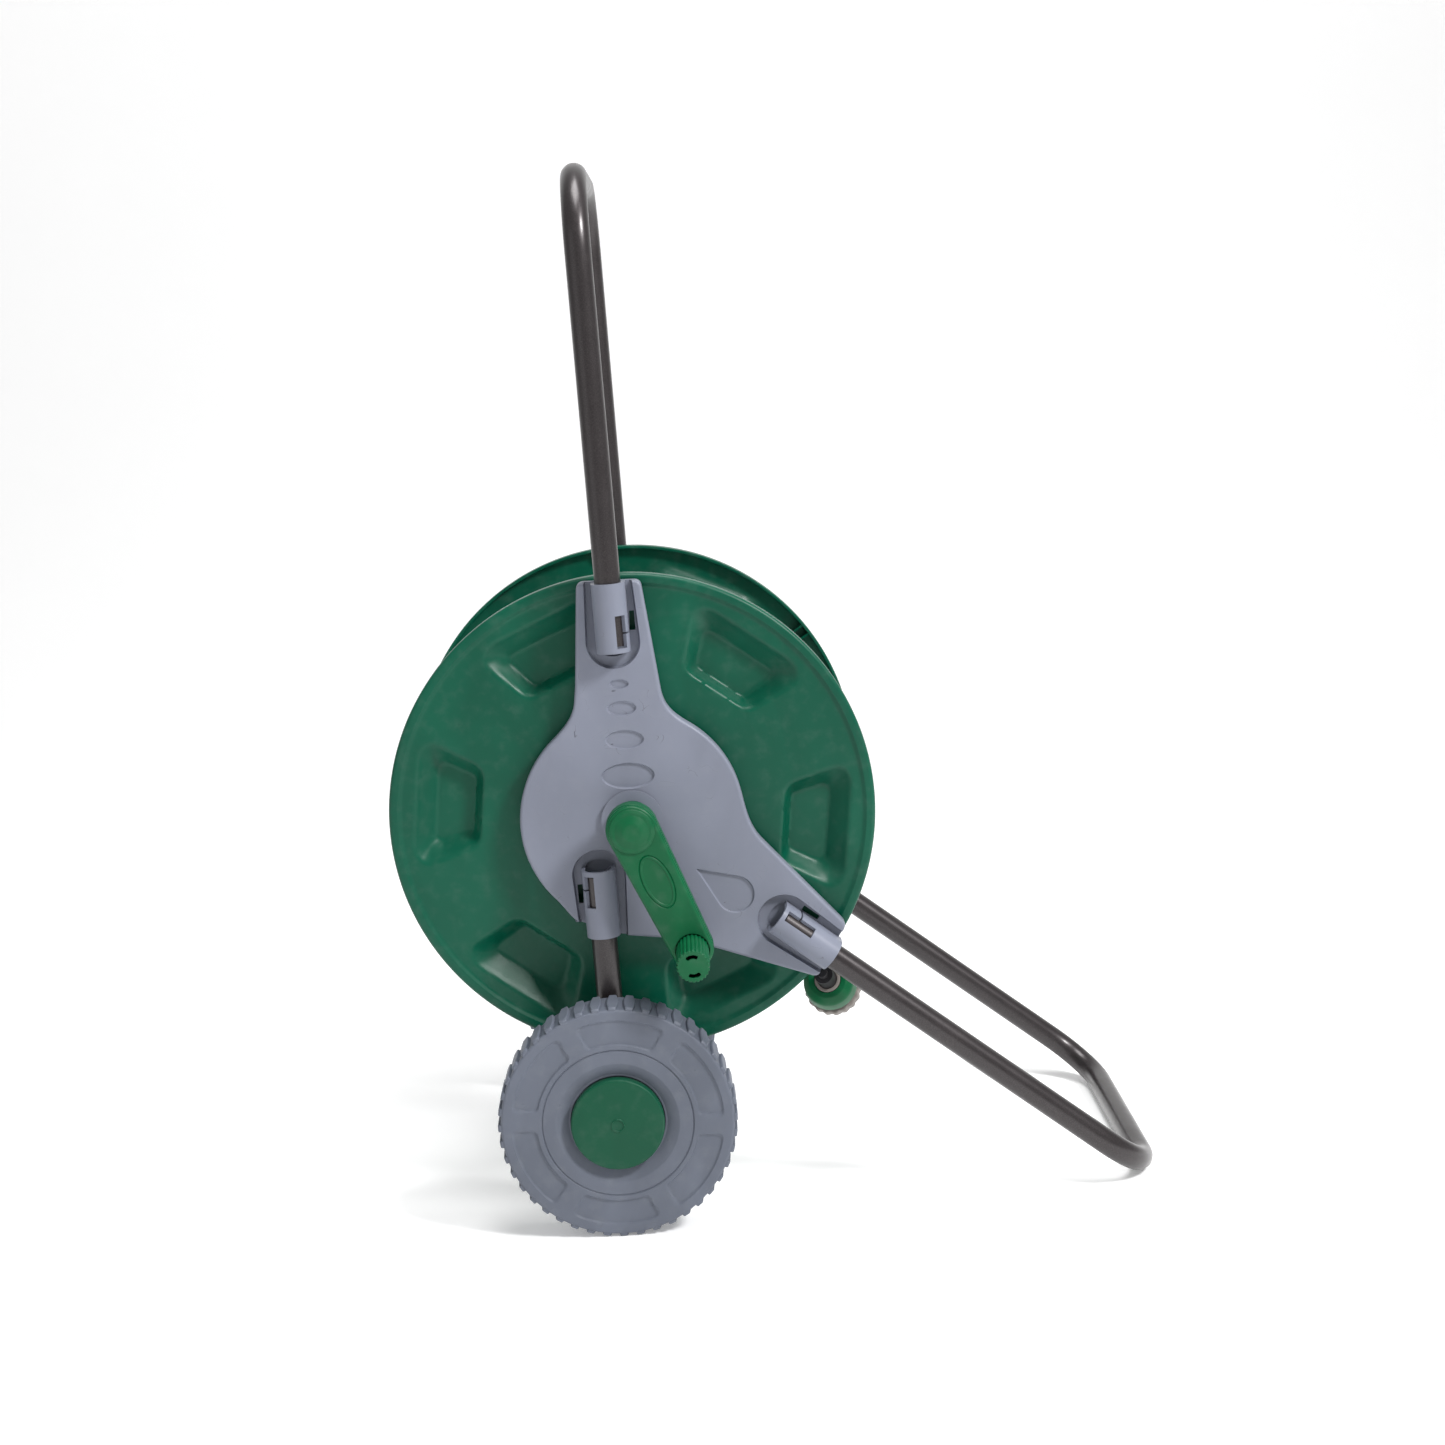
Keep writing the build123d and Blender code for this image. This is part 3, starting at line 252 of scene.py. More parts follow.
# ---- Meshes
@dataclass
class Mould:
    """Collects surfaces and makes one piece of them."""

    name: str
    seat: Seat
    points: list[np.ndarray] = field(default_factory=list)
    faces: list[tuple[int, ...]] = field(default_factory=list)
    count: int = 0

    def add(self, points: np.ndarray, faces: Sequence[tuple[int, ...]]) -> None:
        """Adds a surface given in local millimetres."""
        self.points.append(np.asarray(points, float))
        self.faces.extend(tuple(int(i) + self.count for i in face) for face in faces)
        self.count += len(points)

    def lathe(self, profile: np.ndarray, steps: int = 128, lobes: int = 0, lobe: float = 0) -> None:
        """Turns a closed profile about the seat's axis.

        Args:
            profile: Rows of depth and radius.
            steps: Faces round the axis.
            lobes: How many lobes the outside has.
            lobe: How far the radius drops between lobes.
        """
        angle = turns_of(steps)
        wave = 1 - lobe * (0.5 - 0.5 * np.cos(lobes * angle)) if lobes else np.ones(steps)
        radius = profile[None, :, 1] * wave[:, None]
        x, y = radius * np.cos(angle)[:, None], radius * np.sin(angle)[:, None]
        depth = np.broadcast_to(profile[None, :, 0], x.shape)
        self.grid(np.stack([x, y, depth], -1), True, True)

    def grid(self, points: np.ndarray, wrap_rows: bool, wrap_columns: bool) -> None:
        """Adds a grid of quads from an array of rows, columns and coordinates."""
        rows, columns = points.shape[:2]
        last_row, last_column = rows - (not wrap_rows), columns - (not wrap_columns)
        r, c = (grid.ravel() for grid in np.meshgrid(range(last_row), range(last_column), indexing="ij"))
        r2, c2 = (r + 1) % rows, (c + 1) % columns
        quads = np.stack([r * columns + c, r2 * columns + c, r2 * columns + c2, r * columns + c2], 1)
        self.add(points.reshape(-1, 3), quads)

    def mesh(self, thickness: float = 0, outwards: bool = True) -> bpy.types.Mesh:
        """Makes the mesh, merged and with its normals outwards.

        Args:
            thickness: Wall to give to an open surface, in millimetres.
            outwards: Whether an open surface's normals are turned along the seat's depth.

        Returns:
            The mesh, in the frame's metres.
        """
        mesh = bpy.data.meshes.new(self.name)
        mesh.from_pydata(self.seat.place(np.vstack(self.points)).tolist(), [], self.faces)
        work = bmesh.new()
        work.from_mesh(mesh)
        bmesh.ops.remove_doubles(work, verts=work.verts, dist=2e-6)
        bmesh.ops.dissolve_degenerate(work, edges=work.edges, dist=1e-6)
        bmesh.ops.recalc_face_normals(work, faces=work.faces)
        if thickness and outwards:
            facing = sum(face.calc_area() * face.normal.dot(self.seat.out) for face in work.faces)
            if facing < 0:
                bmesh.ops.reverse_faces(work, faces=work.faces)
        work.to_mesh(mesh)
        work.free()
        return thickened(mesh, thickness) if thickness else mesh


def thickened(mesh: bpy.types.Mesh, thickness: float) -> bpy.types.Mesh:
    """The mesh with a wall behind it, in millimetres."""
    shell = bpy.data.objects.new("shell", mesh)
    bpy.context.scene.collection.objects.link(shell)
    wall = shell.modifiers.new("wall", "SOLIDIFY")
    wall.thickness = thickness * MM
    wall.offset = -1
    return baked(shell)


def baked(piece: bpy.types.Object) -> bpy.types.Mesh:
    """The plain mesh that a piece's modifiers give; the piece itself is removed."""
    result = bpy.data.meshes.new_from_object(piece.evaluated_get(bpy.context.evaluated_depsgraph_get()))
    bpy.data.objects.remove(piece)
    return result


def shown(
    mesh: bpy.types.Mesh,
    name: str,
    body: str,
    finish: bpy.types.Material,
    replaces: Sequence[str] = (),
    crease: float = 38,
) -> bpy.types.Object:
    """Puts a finished mesh in the scene as a piece.

    Args:
        mesh: The mesh, in the frame's metres.
        name: The piece's name.
        body: The body that it rides on.
        finish: The material.
        replaces: CAD nodes that it stands for.
        crease: Angle in degrees past which an edge stays sharp.

    Returns:
        The piece.
    """
    mesh.name = name
    mesh.materials.clear()
    mesh.materials.append(finish)
    mesh.shade_smooth()
    mesh.set_sharp_from_angle(angle=math.radians(crease))
    piece = bpy.data.objects.new(name, mesh)
    bpy.context.scene.collection.objects.link(piece)
    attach(piece, body)
    if replaces:
        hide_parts(*replaces)
    log.info("%s: %d faces on %s", name, len(mesh.polygons), body)
    return piece


@dataclass
class Feature:
    """Something sunk into a moulded face."""

    outline: np.ndarray
    depth: float
    wall: float = 1.2
    kind: Sunk = Sunk.FLOOR

    def drop(self, points: np.ndarray) -> np.ndarray:
        """How far the face is lowered at each point."""
        inside = depth_inside(points, self.outline)
        if self.kind is Sunk.GROOVE:
            return self.depth * (1 - eased(np.abs(inside) / self.wall))
        return self.depth * eased(inside / self.wall)

    def loops(self) -> list[np.ndarray]:
        """The lines that the mesh follows."""
        shares = (-1, -0.5, 0, 0.5, 1) if self.kind is Sunk.GROOVE else (-0.3, 0, 0.2, 0.4, 0.6, 0.8, 1, 1.3)
        return [inset(self.outline, self.wall * share) for share in shares]


@dataclass
class Relief:
    """A moulded face: an outline with a rounded edge, with features sunk in it and holes through it."""

    outline: np.ndarray
    edge: float
    features: list[Feature] = field(default_factory=list)
    holes: list[np.ndarray] = field(default_factory=list)

    def drop(self, points: np.ndarray) -> np.ndarray:
        """How far the face lies below its highest level at each point."""
        inside = np.clip(depth_inside(points, self.outline), 0, self.edge)
        fall = self.edge - np.sqrt(np.maximum(self.edge**2 - (self.edge - inside) ** 2, 0))
        for feature in self.features:
            fall = np.maximum(fall, feature.drop(points))
        return fall

    def pour(self, mould: Mould, face: float, back: float) -> None:
        """Adds the face and the skirt round it to a mould, from the face's depth to the back's."""
        shares = (0, 0.04, 0.14, 0.3, 0.5, 0.75, 1, 1.3)
        loops = [inset(self.outline, self.edge * share) for share in shares]
        loops += [loop for feature in self.features for loop in feature.loops()] + self.holes
        spots, lines = [], []
        for loop in loops:
            start, count = len(spots), len(loop)
            spots.extend(Vector(p) for p in loop)
            lines.extend((start + i, start + (i + 1) % count) for i in range(count))
        found = delaunay_2d_cdt(spots, lines, [], 0, 1e-4)
        flat = np.array([tuple(p) for p in found[0]])
        triangles = np.array(found[2])
        middles = flat[triangles].mean(1)
        keep = depth_inside(middles, self.outline) > 0
        for hole in self.holes:
            keep &= depth_inside(middles, hole) < 0
        triangles = triangles[keep]
        mould.add(np.column_stack([flat, face - self.drop(flat)]), triangles)
        rim = self.outline
        upper = np.column_stack([rim, face - self.drop(rim)])
        lower = np.column_stack([rim, np.full(len(rim), back)])
        mould.grid(np.stack([upper, lower], 1), True, False)


class RingOfCopies:
    """Geometry Nodes that set copies of a mesh round an axis and place the ring."""

    def __init__(self) -> None:
        """Builds the tree."""
        tree = bpy.data.node_groups.new("ring_of_copies", "GeometryNodeTree")
        face = tree.interface
        self.sockets: dict[str, str] = {}
        for name, kind in (
            ("Unit", "NodeSocketGeometry"),
            ("Count", "NodeSocketInt"),
            ("Start", "NodeSocketFloat"),
            ("Turn", "NodeSocketRotation"),
            ("Place", "NodeSocketVector"),
            ("Finish", "NodeSocketMaterial"),
        ):
            self.sockets[name] = face.new_socket(name, in_out="INPUT", socket_type=kind).identifier
        face.new_socket("Ring", in_out="OUTPUT", socket_type="NodeSocketGeometry")
        nodes, links = tree.nodes, tree.links
        source, end = nodes.new("NodeGroupInput"), nodes.new("NodeGroupOutput")
        points = nodes.new("GeometryNodePoints")
        index = nodes.new("GeometryNodeInputIndex")
        step = self.maths(nodes, "DIVIDE")
        step.inputs[0].default_value = 2 * math.pi
        angle = self.maths(nodes, "MULTIPLY_ADD")
        spin = nodes.new("ShaderNodeCombineXYZ")
        copies = nodes.new("GeometryNodeInstanceOnPoints")
        real = nodes.new("GeometryNodeRealizeInstances")
        placed = nodes.new("GeometryNodeTransform")
        dressed = nodes.new("GeometryNodeSetMaterial")
        for start, finish in (
            (source.outputs["Count"], points.inputs["Count"]),
            (source.outputs["Count"], step.inputs[1]),
            (index.outputs[0], angle.inputs[0]),
            (step.outputs[0], angle.inputs[1]),
            (source.outputs["Start"], angle.inputs[2]),
            (angle.outputs[0], spin.inputs["Z"]),
            (points.outputs[0], copies.inputs["Points"]),
            (source.outputs["Unit"], copies.inputs["Instance"]),
            (spin.outputs[0], copies.inputs["Rotation"]),
            (copies.outputs[0], placed.inputs["Geometry"]),
            (source.outputs["Turn"], placed.inputs["Rotation"]),
            (source.outputs["Place"], placed.inputs["Translation"]),
            (placed.outputs[0], real.inputs[0]),
            (real.outputs[0], dressed.inputs["Geometry"]),
            (source.outputs["Finish"], dressed.inputs["Material"]),
            (dressed.outputs[0], end.inputs[0]),
        ):
            links.new(start, finish)
        self.tree = tree

    @staticmethod
    def maths(nodes: bpy.types.Nodes, operation: str) -> bpy.types.Node:
        """A Math node with its operation set."""
        node = nodes.new("ShaderNodeMath")
        node.operation = operation
        return node

    def make(
        self, unit: bpy.types.Mesh, count: int, start: float, seat: Seat, finish: bpy.types.Material
    ) -> bpy.types.Mesh:
        """Sets copies of a unit round a seat's axis.

        Args:
            unit: One copy, in metres on the seat's own axes.
            count: How many there are.
            start: Angle of the first, in degrees.
            seat: The axis.
            finish: The material.

        Returns:
            One plain mesh, in the frame's metres.
        """
        carrier = bpy.data.objects.new("ring", unit)
        bpy.context.scene.collection.objects.link(carrier)
        ring = carrier.modifiers.new("ring", "NODES")
        ring.node_group = self.tree
        ring[self.sockets["Count"]] = count
        ring[self.sockets["Start"]] = math.radians(start)
        ring[self.sockets["Turn"]] = seat.turn().to_euler()
        ring[self.sockets["Place"]] = seat.origin
        ring[self.sockets["Finish"]] = finish
        return baked(carrier)


def stacked(name: str, sections: Sequence[Sequence[tuple[float, float, float]]]) -> bpy.types.Mesh:
    """A closed solid through sections that all have the same number of points.

    Args:
        name: The mesh's name.
        sections: Rings of points from one end to the other, in millimetres on the local axes.

    Returns:
        The mesh, in metres on the local axes.
    """
    sides, last = len(sections[0]), len(sections) - 1
    faces = []
    for k in range(last):
        for i in range(sides):
            near, far = sides * k, sides * (k + 1)
            ahead = (i + 1) % sides
            faces.append((near + i, near + ahead, far + ahead, far + i))
    faces += [tuple(range(sides)), tuple(range(sides * last, sides * (last + 1)))]
    mesh = bpy.data.meshes.new(name)
    points = [tuple(c * MM for c in point) for section in sections for point in section]
    mesh.from_pydata(points, [], faces)
    work = bmesh.new()
    work.from_mesh(mesh)
    bmesh.ops.recalc_face_normals(work, faces=work.faces)
    work.to_mesh(mesh)
    work.free()
    return mesh


def block(rows: Sequence[tuple[float, float, float, float]]) -> bpy.types.Mesh:
    """A block along local x; a row is its radius, its half width, and its near and far depths."""
    corners = ((-1, 0), (1, 0), (1, 1), (-1, 1))
    return stacked("block", [[(r, hand * w, ends[end]) for hand, end in corners] for r, w, *ends in rows])


def bar(stations: Sequence[tuple[float, float, float, float]]) -> bpy.types.Mesh:
    """A soft-edged bar along the depth; a station is its depth, half width, and foot and top radius."""
    shoulder, soften, crown = 0.6, 0.2, 0.9
    sections = []
    for depth, wide, foot, top in stations:
        half = [(foot, wide), (top - shoulder, wide - soften), (top, wide - crown)]
        edge = [(radius, -across) for radius, across in half] + half[::-1]
        sections.append([(radius, across, depth) for radius, across in edge])
    return stacked("bar", sections)


# ---- Finishes
class Wire:
    """A socket of a shader tree that arithmetic works on."""

    def __init__(self, shader: "Shader", socket: bpy.types.NodeSocket) -> None:
        """Keeps the tree and the socket."""
        self.shader = shader
        self.socket = socket

    def maths(self, operation: str, first: "Wire | float", second: "Wire | float") -> "Wire":
        """A Math node on two values."""
        return self.shader.node("ShaderNodeMath", {"operation": operation}, {0: first, 1: second})

    def __add__(self, other: "Wire | float") -> "Wire":
        """Sum."""
        return self.maths("ADD", self, other)

    __radd__ = __add__

    def __mul__(self, other: "Wire | float") -> "Wire":
        """Product."""
        return self.maths("MULTIPLY", self, other)

    __rmul__ = __mul__

    def __sub__(self, other: "Wire | float") -> "Wire":
        """Difference."""
        return self.maths("SUBTRACT", self, other)

    def __rsub__(self, other: "Wire | float") -> "Wire":
        """Difference from a number."""
        return self.maths("SUBTRACT", other, self)

    def __abs__(self) -> "Wire":
        """Size without the sign."""
        return self.maths("ABSOLUTE", self, 0.0)

    def between(self, low: float, high: float) -> "Wire":
        """Smooth step from 0 at low to 1 at high."""
        settings = {"interpolation_type": "SMOOTHSTEP"}
        return self.shader.node("ShaderNodeMapRange", settings, {0: self, 1: low, 2: high})


class Shader:
    """A material's node tree."""

    def __init__(self, name: str) -> None:
        """Makes an empty material with its surface shader."""
        self.material = bpy.data.materials.new(name)
        self.material.use_nodes = True
        self.tree = self.material.node_tree
        self.surface = next(n for n in self.tree.nodes if n.type == "BSDF_PRINCIPLED")

    def node(self, kind: str, settings: dict, inputs: dict, output: int | str = 0) -> Wire:
        """Adds a node.

        Args:
            kind: The node's type.
            settings: Its properties.
            inputs: Values or wires by socket name or number.
            output: The socket to return.

        Returns:
            The output as a wire.
        """
        node = self.tree.nodes.new(kind)
        for key, value in settings.items():
            setattr(node, key, value)
        for key, value in inputs.items():
            self.feed(node.inputs[key], value)
        return Wire(self, node.outputs[output])

    def feed(self, socket: bpy.types.NodeSocket, value: object) -> None:
        """Links a wire to a socket, or sets the socket's value."""
        if isinstance(value, Wire):
            self.tree.links.new(value.socket, socket)
        else:
            socket.default_value = value

    def spot(self, stretch: tuple[float, float, float] = (1, 1, 1)) -> Wire:
        """Object coordinates in millimetres, stretched."""
        here = self.node("ShaderNodeTexCoord", {}, {}, "Object")
        return self.node("ShaderNodeMapping", {}, {"Vector": here, "Scale": [s / MM for s in stretch]})

    def noise(self, where: Wire, per_mm: float, detail: float = 3, twist: float = 0) -> Wire:
        """Noise from 0 to 1 with a number of cells per millimetre."""
        inputs = {"Vector": where, "Scale": per_mm, "Detail": detail, "Distortion": twist}
        return self.node("ShaderNodeTexNoise", {}, inputs)

    def blend(self, share: Wire, first: object, second: object) -> Wire:
        """Mix of two colours."""
        return self.node("ShaderNodeMix", {"data_type": "RGBA"}, {0: share, 6: first, 7: second}, 2)

    def relief(self, height: Wire, strength: float, distance: float) -> None:
        """Feeds a bump to the surface; the distance is in millimetres."""
        inputs = {"Strength": strength, "Distance": distance * MM, "Height": height}
        self.feed(self.surface.inputs["Normal"], self.node("ShaderNodeBump", {}, inputs))


def rgba(colour: tuple[float, float, float], by: float = 1) -> tuple[float, float, float, float]:
    """Opaque colour, scaled."""
    return (*(min(1.0, c * by) for c in colour), 1.0)


@dataclass(frozen=True)
class MouldedPlastic:
    """Satin polypropylene: fine spark texture, faint flow marks, and a few scuffs."""

    name: str
    colour: tuple[float, float, float]
    roughness: float = 0.42
    spread: float = 0.10
    scuffs: float = 0.0
    dust: float = 0.04
    grain: float = 0.16
    shine: float = 0.25

    def make(self) -> bpy.types.Material:
        """Builds the material."""
        shader = Shader(self.name)
        spot = shader.spot()
        flow = shader.noise(shader.spot((1, 1, 0.45)), 0.018, 4, 0.6)
        cloud = shader.noise(spot, 0.09, 5)
        spark = shader.noise(spot, 2.1, 2)
        line = abs(shader.noise(shader.spot((1, 1, 1.7)), 0.03, 1.5, 1.2) - 0.5)
        scuff = (1 - line.between(0.0006, 0.0030)) * cloud.between(0.54, 0.66) * self.scuffs
        pale, deep = rgba(self.colour, 1 + self.spread), rgba(self.colour, 1 - self.spread)
        tone = shader.blend(flow.between(0.3, 0.7), deep, pale)
        dusty = shader.blend(cloud.between(0.45, 0.85) * self.dust, tone, (0.42, 0.43, 0.42, 1))
        worn = shader.blend(scuff, dusty, rgba(self.colour, 0.35))
        shader.feed(shader.surface.inputs["Base Color"], worn)
        rough = (cloud - 0.5) * 0.16 + (flow - 0.5) * 0.1 + (spark - 0.5) * 0.05 + self.roughness
        shader.feed(shader.surface.inputs["Roughness"], rough)
        shader.surface.inputs["IOR"].default_value = 1.49
        shader.surface.inputs["Specular IOR Level"].default_value = self.shine
        shader.relief(spark * 0.8 + cloud * 0.6 - scuff * 0.8, self.grain, 0.12)
        return shader.material


@dataclass(frozen=True)
class CoatedTube:
    """Dark bronze powder coat with a soft sheen and fine speckle."""

    name: str = "bronze_coat"
    colour: tuple[float, float, float] = (0.030, 0.025, 0.026)

    def make(self) -> bpy.types.Material:
        """Builds the material."""
        shader = Shader(self.name)
        spot = shader.spot()
        speckle = shader.noise(spot, 1.6, 2)
        cloud = shader.noise(spot, 0.05, 5)
        streak = shader.noise(shader.spot((1, 1, 0.04)), 0.35, 2)
        tone = shader.blend(speckle.between(0.35, 0.75), rgba(self.colour, 0.8), rgba(self.colour, 1.5))
        rub = cloud.between(0.55, 0.8) * streak.between(0.5, 0.7) * 0.5
        rubbed = shader.blend(rub, tone, (0.065, 0.056, 0.055, 1))
        shader.feed(shader.surface.inputs["Base Color"], rubbed)
        shader.feed(shader.surface.inputs["Roughness"], (cloud - 0.5) * 0.2 + (speckle - 0.5) * 0.12 + 0.36)
        shader.surface.inputs["Metallic"].default_value = 0.55
        shader.surface.inputs["Coat Weight"].default_value = 0.35
        shader.surface.inputs["Coat Roughness"].default_value = 0.22
        shader.relief(speckle + cloud * 0.5, 0.14, 0.1)
        return shader.material


@dataclass(frozen=True)
class PlatedSteel:
    """Zinc-plated steel with fine turning marks and patches of dulling."""

    name: str = "zinc_steel"
    colour: tuple[float, float, float] = (0.56, 0.57, 0.59)

    def make(self) -> bpy.types.Material:
        """Builds the material."""
        shader = Shader(self.name)
        marks = shader.noise(shader.spot((1, 0.05, 1)), 2.4, 3)
        patch = shader.noise(shader.spot(), 0.12, 5)
        tone = shader.blend(patch.between(0.35, 0.75), rgba(self.colour, 0.82), rgba(self.colour, 1.1))
        shader.feed(shader.surface.inputs["Base Color"], tone)
        shader.feed(shader.surface.inputs["Roughness"], marks * 0.18 + patch * 0.18 + 0.16)
        shader.surface.inputs["Metallic"].default_value = 1
        shader.relief(marks, 0.12, 0.05)
        return shader.material


@dataclass(frozen=True)
class SealRubber:
    """Matt black rubber with a bloom."""

    name: str = "seal_rubber"

    def make(self) -> bpy.types.Material:
        """Builds the material."""
        shader = Shader(self.name)
        bloom = shader.noise(shader.spot(), 0.4, 4)
        tone = shader.blend(bloom.between(0.4, 0.8), (0.012, 0.012, 0.012, 1), (0.04, 0.04, 0.042, 1))
        shader.feed(shader.surface.inputs["Base Color"], tone)
        shader.feed(shader.surface.inputs["Roughness"], bloom * 0.2 + 0.62)
        shader.relief(bloom, 0.2, 0.08)
        return shader.material


class Finishes:
    """Every finish of the cart, by the record's slot."""

    def __init__(self) -> None:
        """Builds the materials once each."""
        plastics = {
            "flange_green": MouldedPlastic(
                "flange_plastic", (0.000, 0.072, 0.040), roughness=0.38, spread=0.12, scuffs=0.15
            ),
            "crank_green": MouldedPlastic("crank_plastic", (0.000, 0.088, 0.030), scuffs=0.25),
            "cap_green": MouldedPlastic(
                "cap_plastic", (0.000, 0.060, 0.028), roughness=0.50, spread=0.08, scuffs=0.1
            ),
            "plate_grey": MouldedPlastic(
                "plate_plastic", (0.182, 0.196, 0.246), roughness=0.38, spread=0.06, scuffs=0.8
            ),
            "wheel_grey": MouldedPlastic(
                "wheel_plastic", (0.112, 0.125, 0.158), roughness=0.52, scuffs=0.3, dust=0.06, grain=0.3
            ),
            "black_plastic": MouldedPlastic("black_plastic", (0.018, 0.018, 0.020), spread=0.15),
            "connector_grey": MouldedPlastic(
                "connector_plastic", (0.20, 0.18, 0.165), roughness=0.5, spread=0.12
            ),
        }
        self.by_slot = {slot: finish.make() for slot, finish in plastics.items()}
        self.by_slot["tube_bronze"] = CoatedTube().make()
        self.by_slot["steel"] = PlatedSteel().make()
        self.by_slot["seal_rubber"] = SealRubber().make()

    def dress_nodes(self) -> None:
        """Gives each CAD node that stays the finish of its slot."""
        for entry in frame["record"]["subparts"]:
            for slot in frame["nodes"][entry["node"]].material_slots:
                slot.material = self.by_slot[entry["material_slot"]]


# ---- The frame's tubes
@dataclass
class Tube:
    """A U-shaped tube whose legs follow a line on both sides of the drum."""

    name: str
    angle: float
    offset: float
    start: float
    reach: float
    bend: float
    radius: float = 10.0
    wall: float = 1.2
    half_gap: float = 134.0
    flattening: float = 0.07

    def build(self, finishes: Finishes) -> None:
        """Sweeps the tube, a little flattened in its bends."""
        ways = ((-1, self.start), (-1, self.reach), (1, self.reach), (1, self.start))
        corners = [(hand * self.half_gap, along) for hand, along in ways]
        path = rounded(corners, [0, self.bend, self.bend, 0], closed=False)
        path = self.filled(path, 12.0)
        way = np.gradient(path, axis=0)
        way /= np.linalg.norm(way, axis=1)[:, None]
        bent = np.abs(way[:, 0] * way[:, 1]) * 2
        squeeze = 1 - self.flattening * eased(bent)
        turn = np.linspace(0, 2 * math.pi, 48, endpoint=False)
        tilt = math.radians(self.angle)
        seat = Seat(
            REEL + Vector((-math.sin(tilt), 0, math.cos(tilt))) * self.offset * MM,
            Vector((0, 1, 0)),
            Vector((math.cos(tilt), 0, math.sin(tilt))),
            Vector((math.sin(tilt), 0, -math.cos(tilt))),
        )
        side = np.column_stack([-way[:, 1], way[:, 0]])
        rings = []
        for radius in (self.radius, self.radius - self.wall):
            across = radius * np.cos(turn)[None, :] * squeeze[:, None]
            flat = path[:, None, :] + side[:, None, :] * across[..., None]
            lift = np.broadcast_to(radius * np.sin(turn), across.shape)
            rings.append(np.concatenate([flat, lift[..., None]], -1))
        mould = Mould(self.name, seat)
        mould.grid(np.concatenate([rings[0], rings[1][::-1]]), True, True)
        bronze = finishes.by_slot["tube_bronze"]
        shown(mould.mesh(), f"{self.name}_sweep", "frame", bronze, [self.name])

    @staticmethod
    def filled(path: np.ndarray, step: float) -> np.ndarray:
        """The path with extra points on its long runs."""
        line = [path[0]]
        for here, there in zip(path[:-1], path[1:]):
            parts = max(1, int(np.linalg.norm(there - here) / step))
            line.extend(here + (there - here) * k / parts for k in range(1, parts + 1))
        return np.array(line)


# ---- Side plates
@dataclass(frozen=True)
class Socket:
    """Where a tube enters a side plate: its line, the end of the arm and the side of its snap window."""

    angle: float
    offset: float
    reach: float
    hand: int

    def at(self, points: np.ndarray) -> np.ndarray:
        """Plate coordinates of points given along the tube from the end of the arm, and to its left."""
        c, s = math.cos(math.radians(self.angle)), math.sin(math.radians(self.angle))
        along, left = points[..., 0] + self.reach, points[..., 1] + self.offset
        return np.stack([along * c - left * s, along * s + left * c], -1)


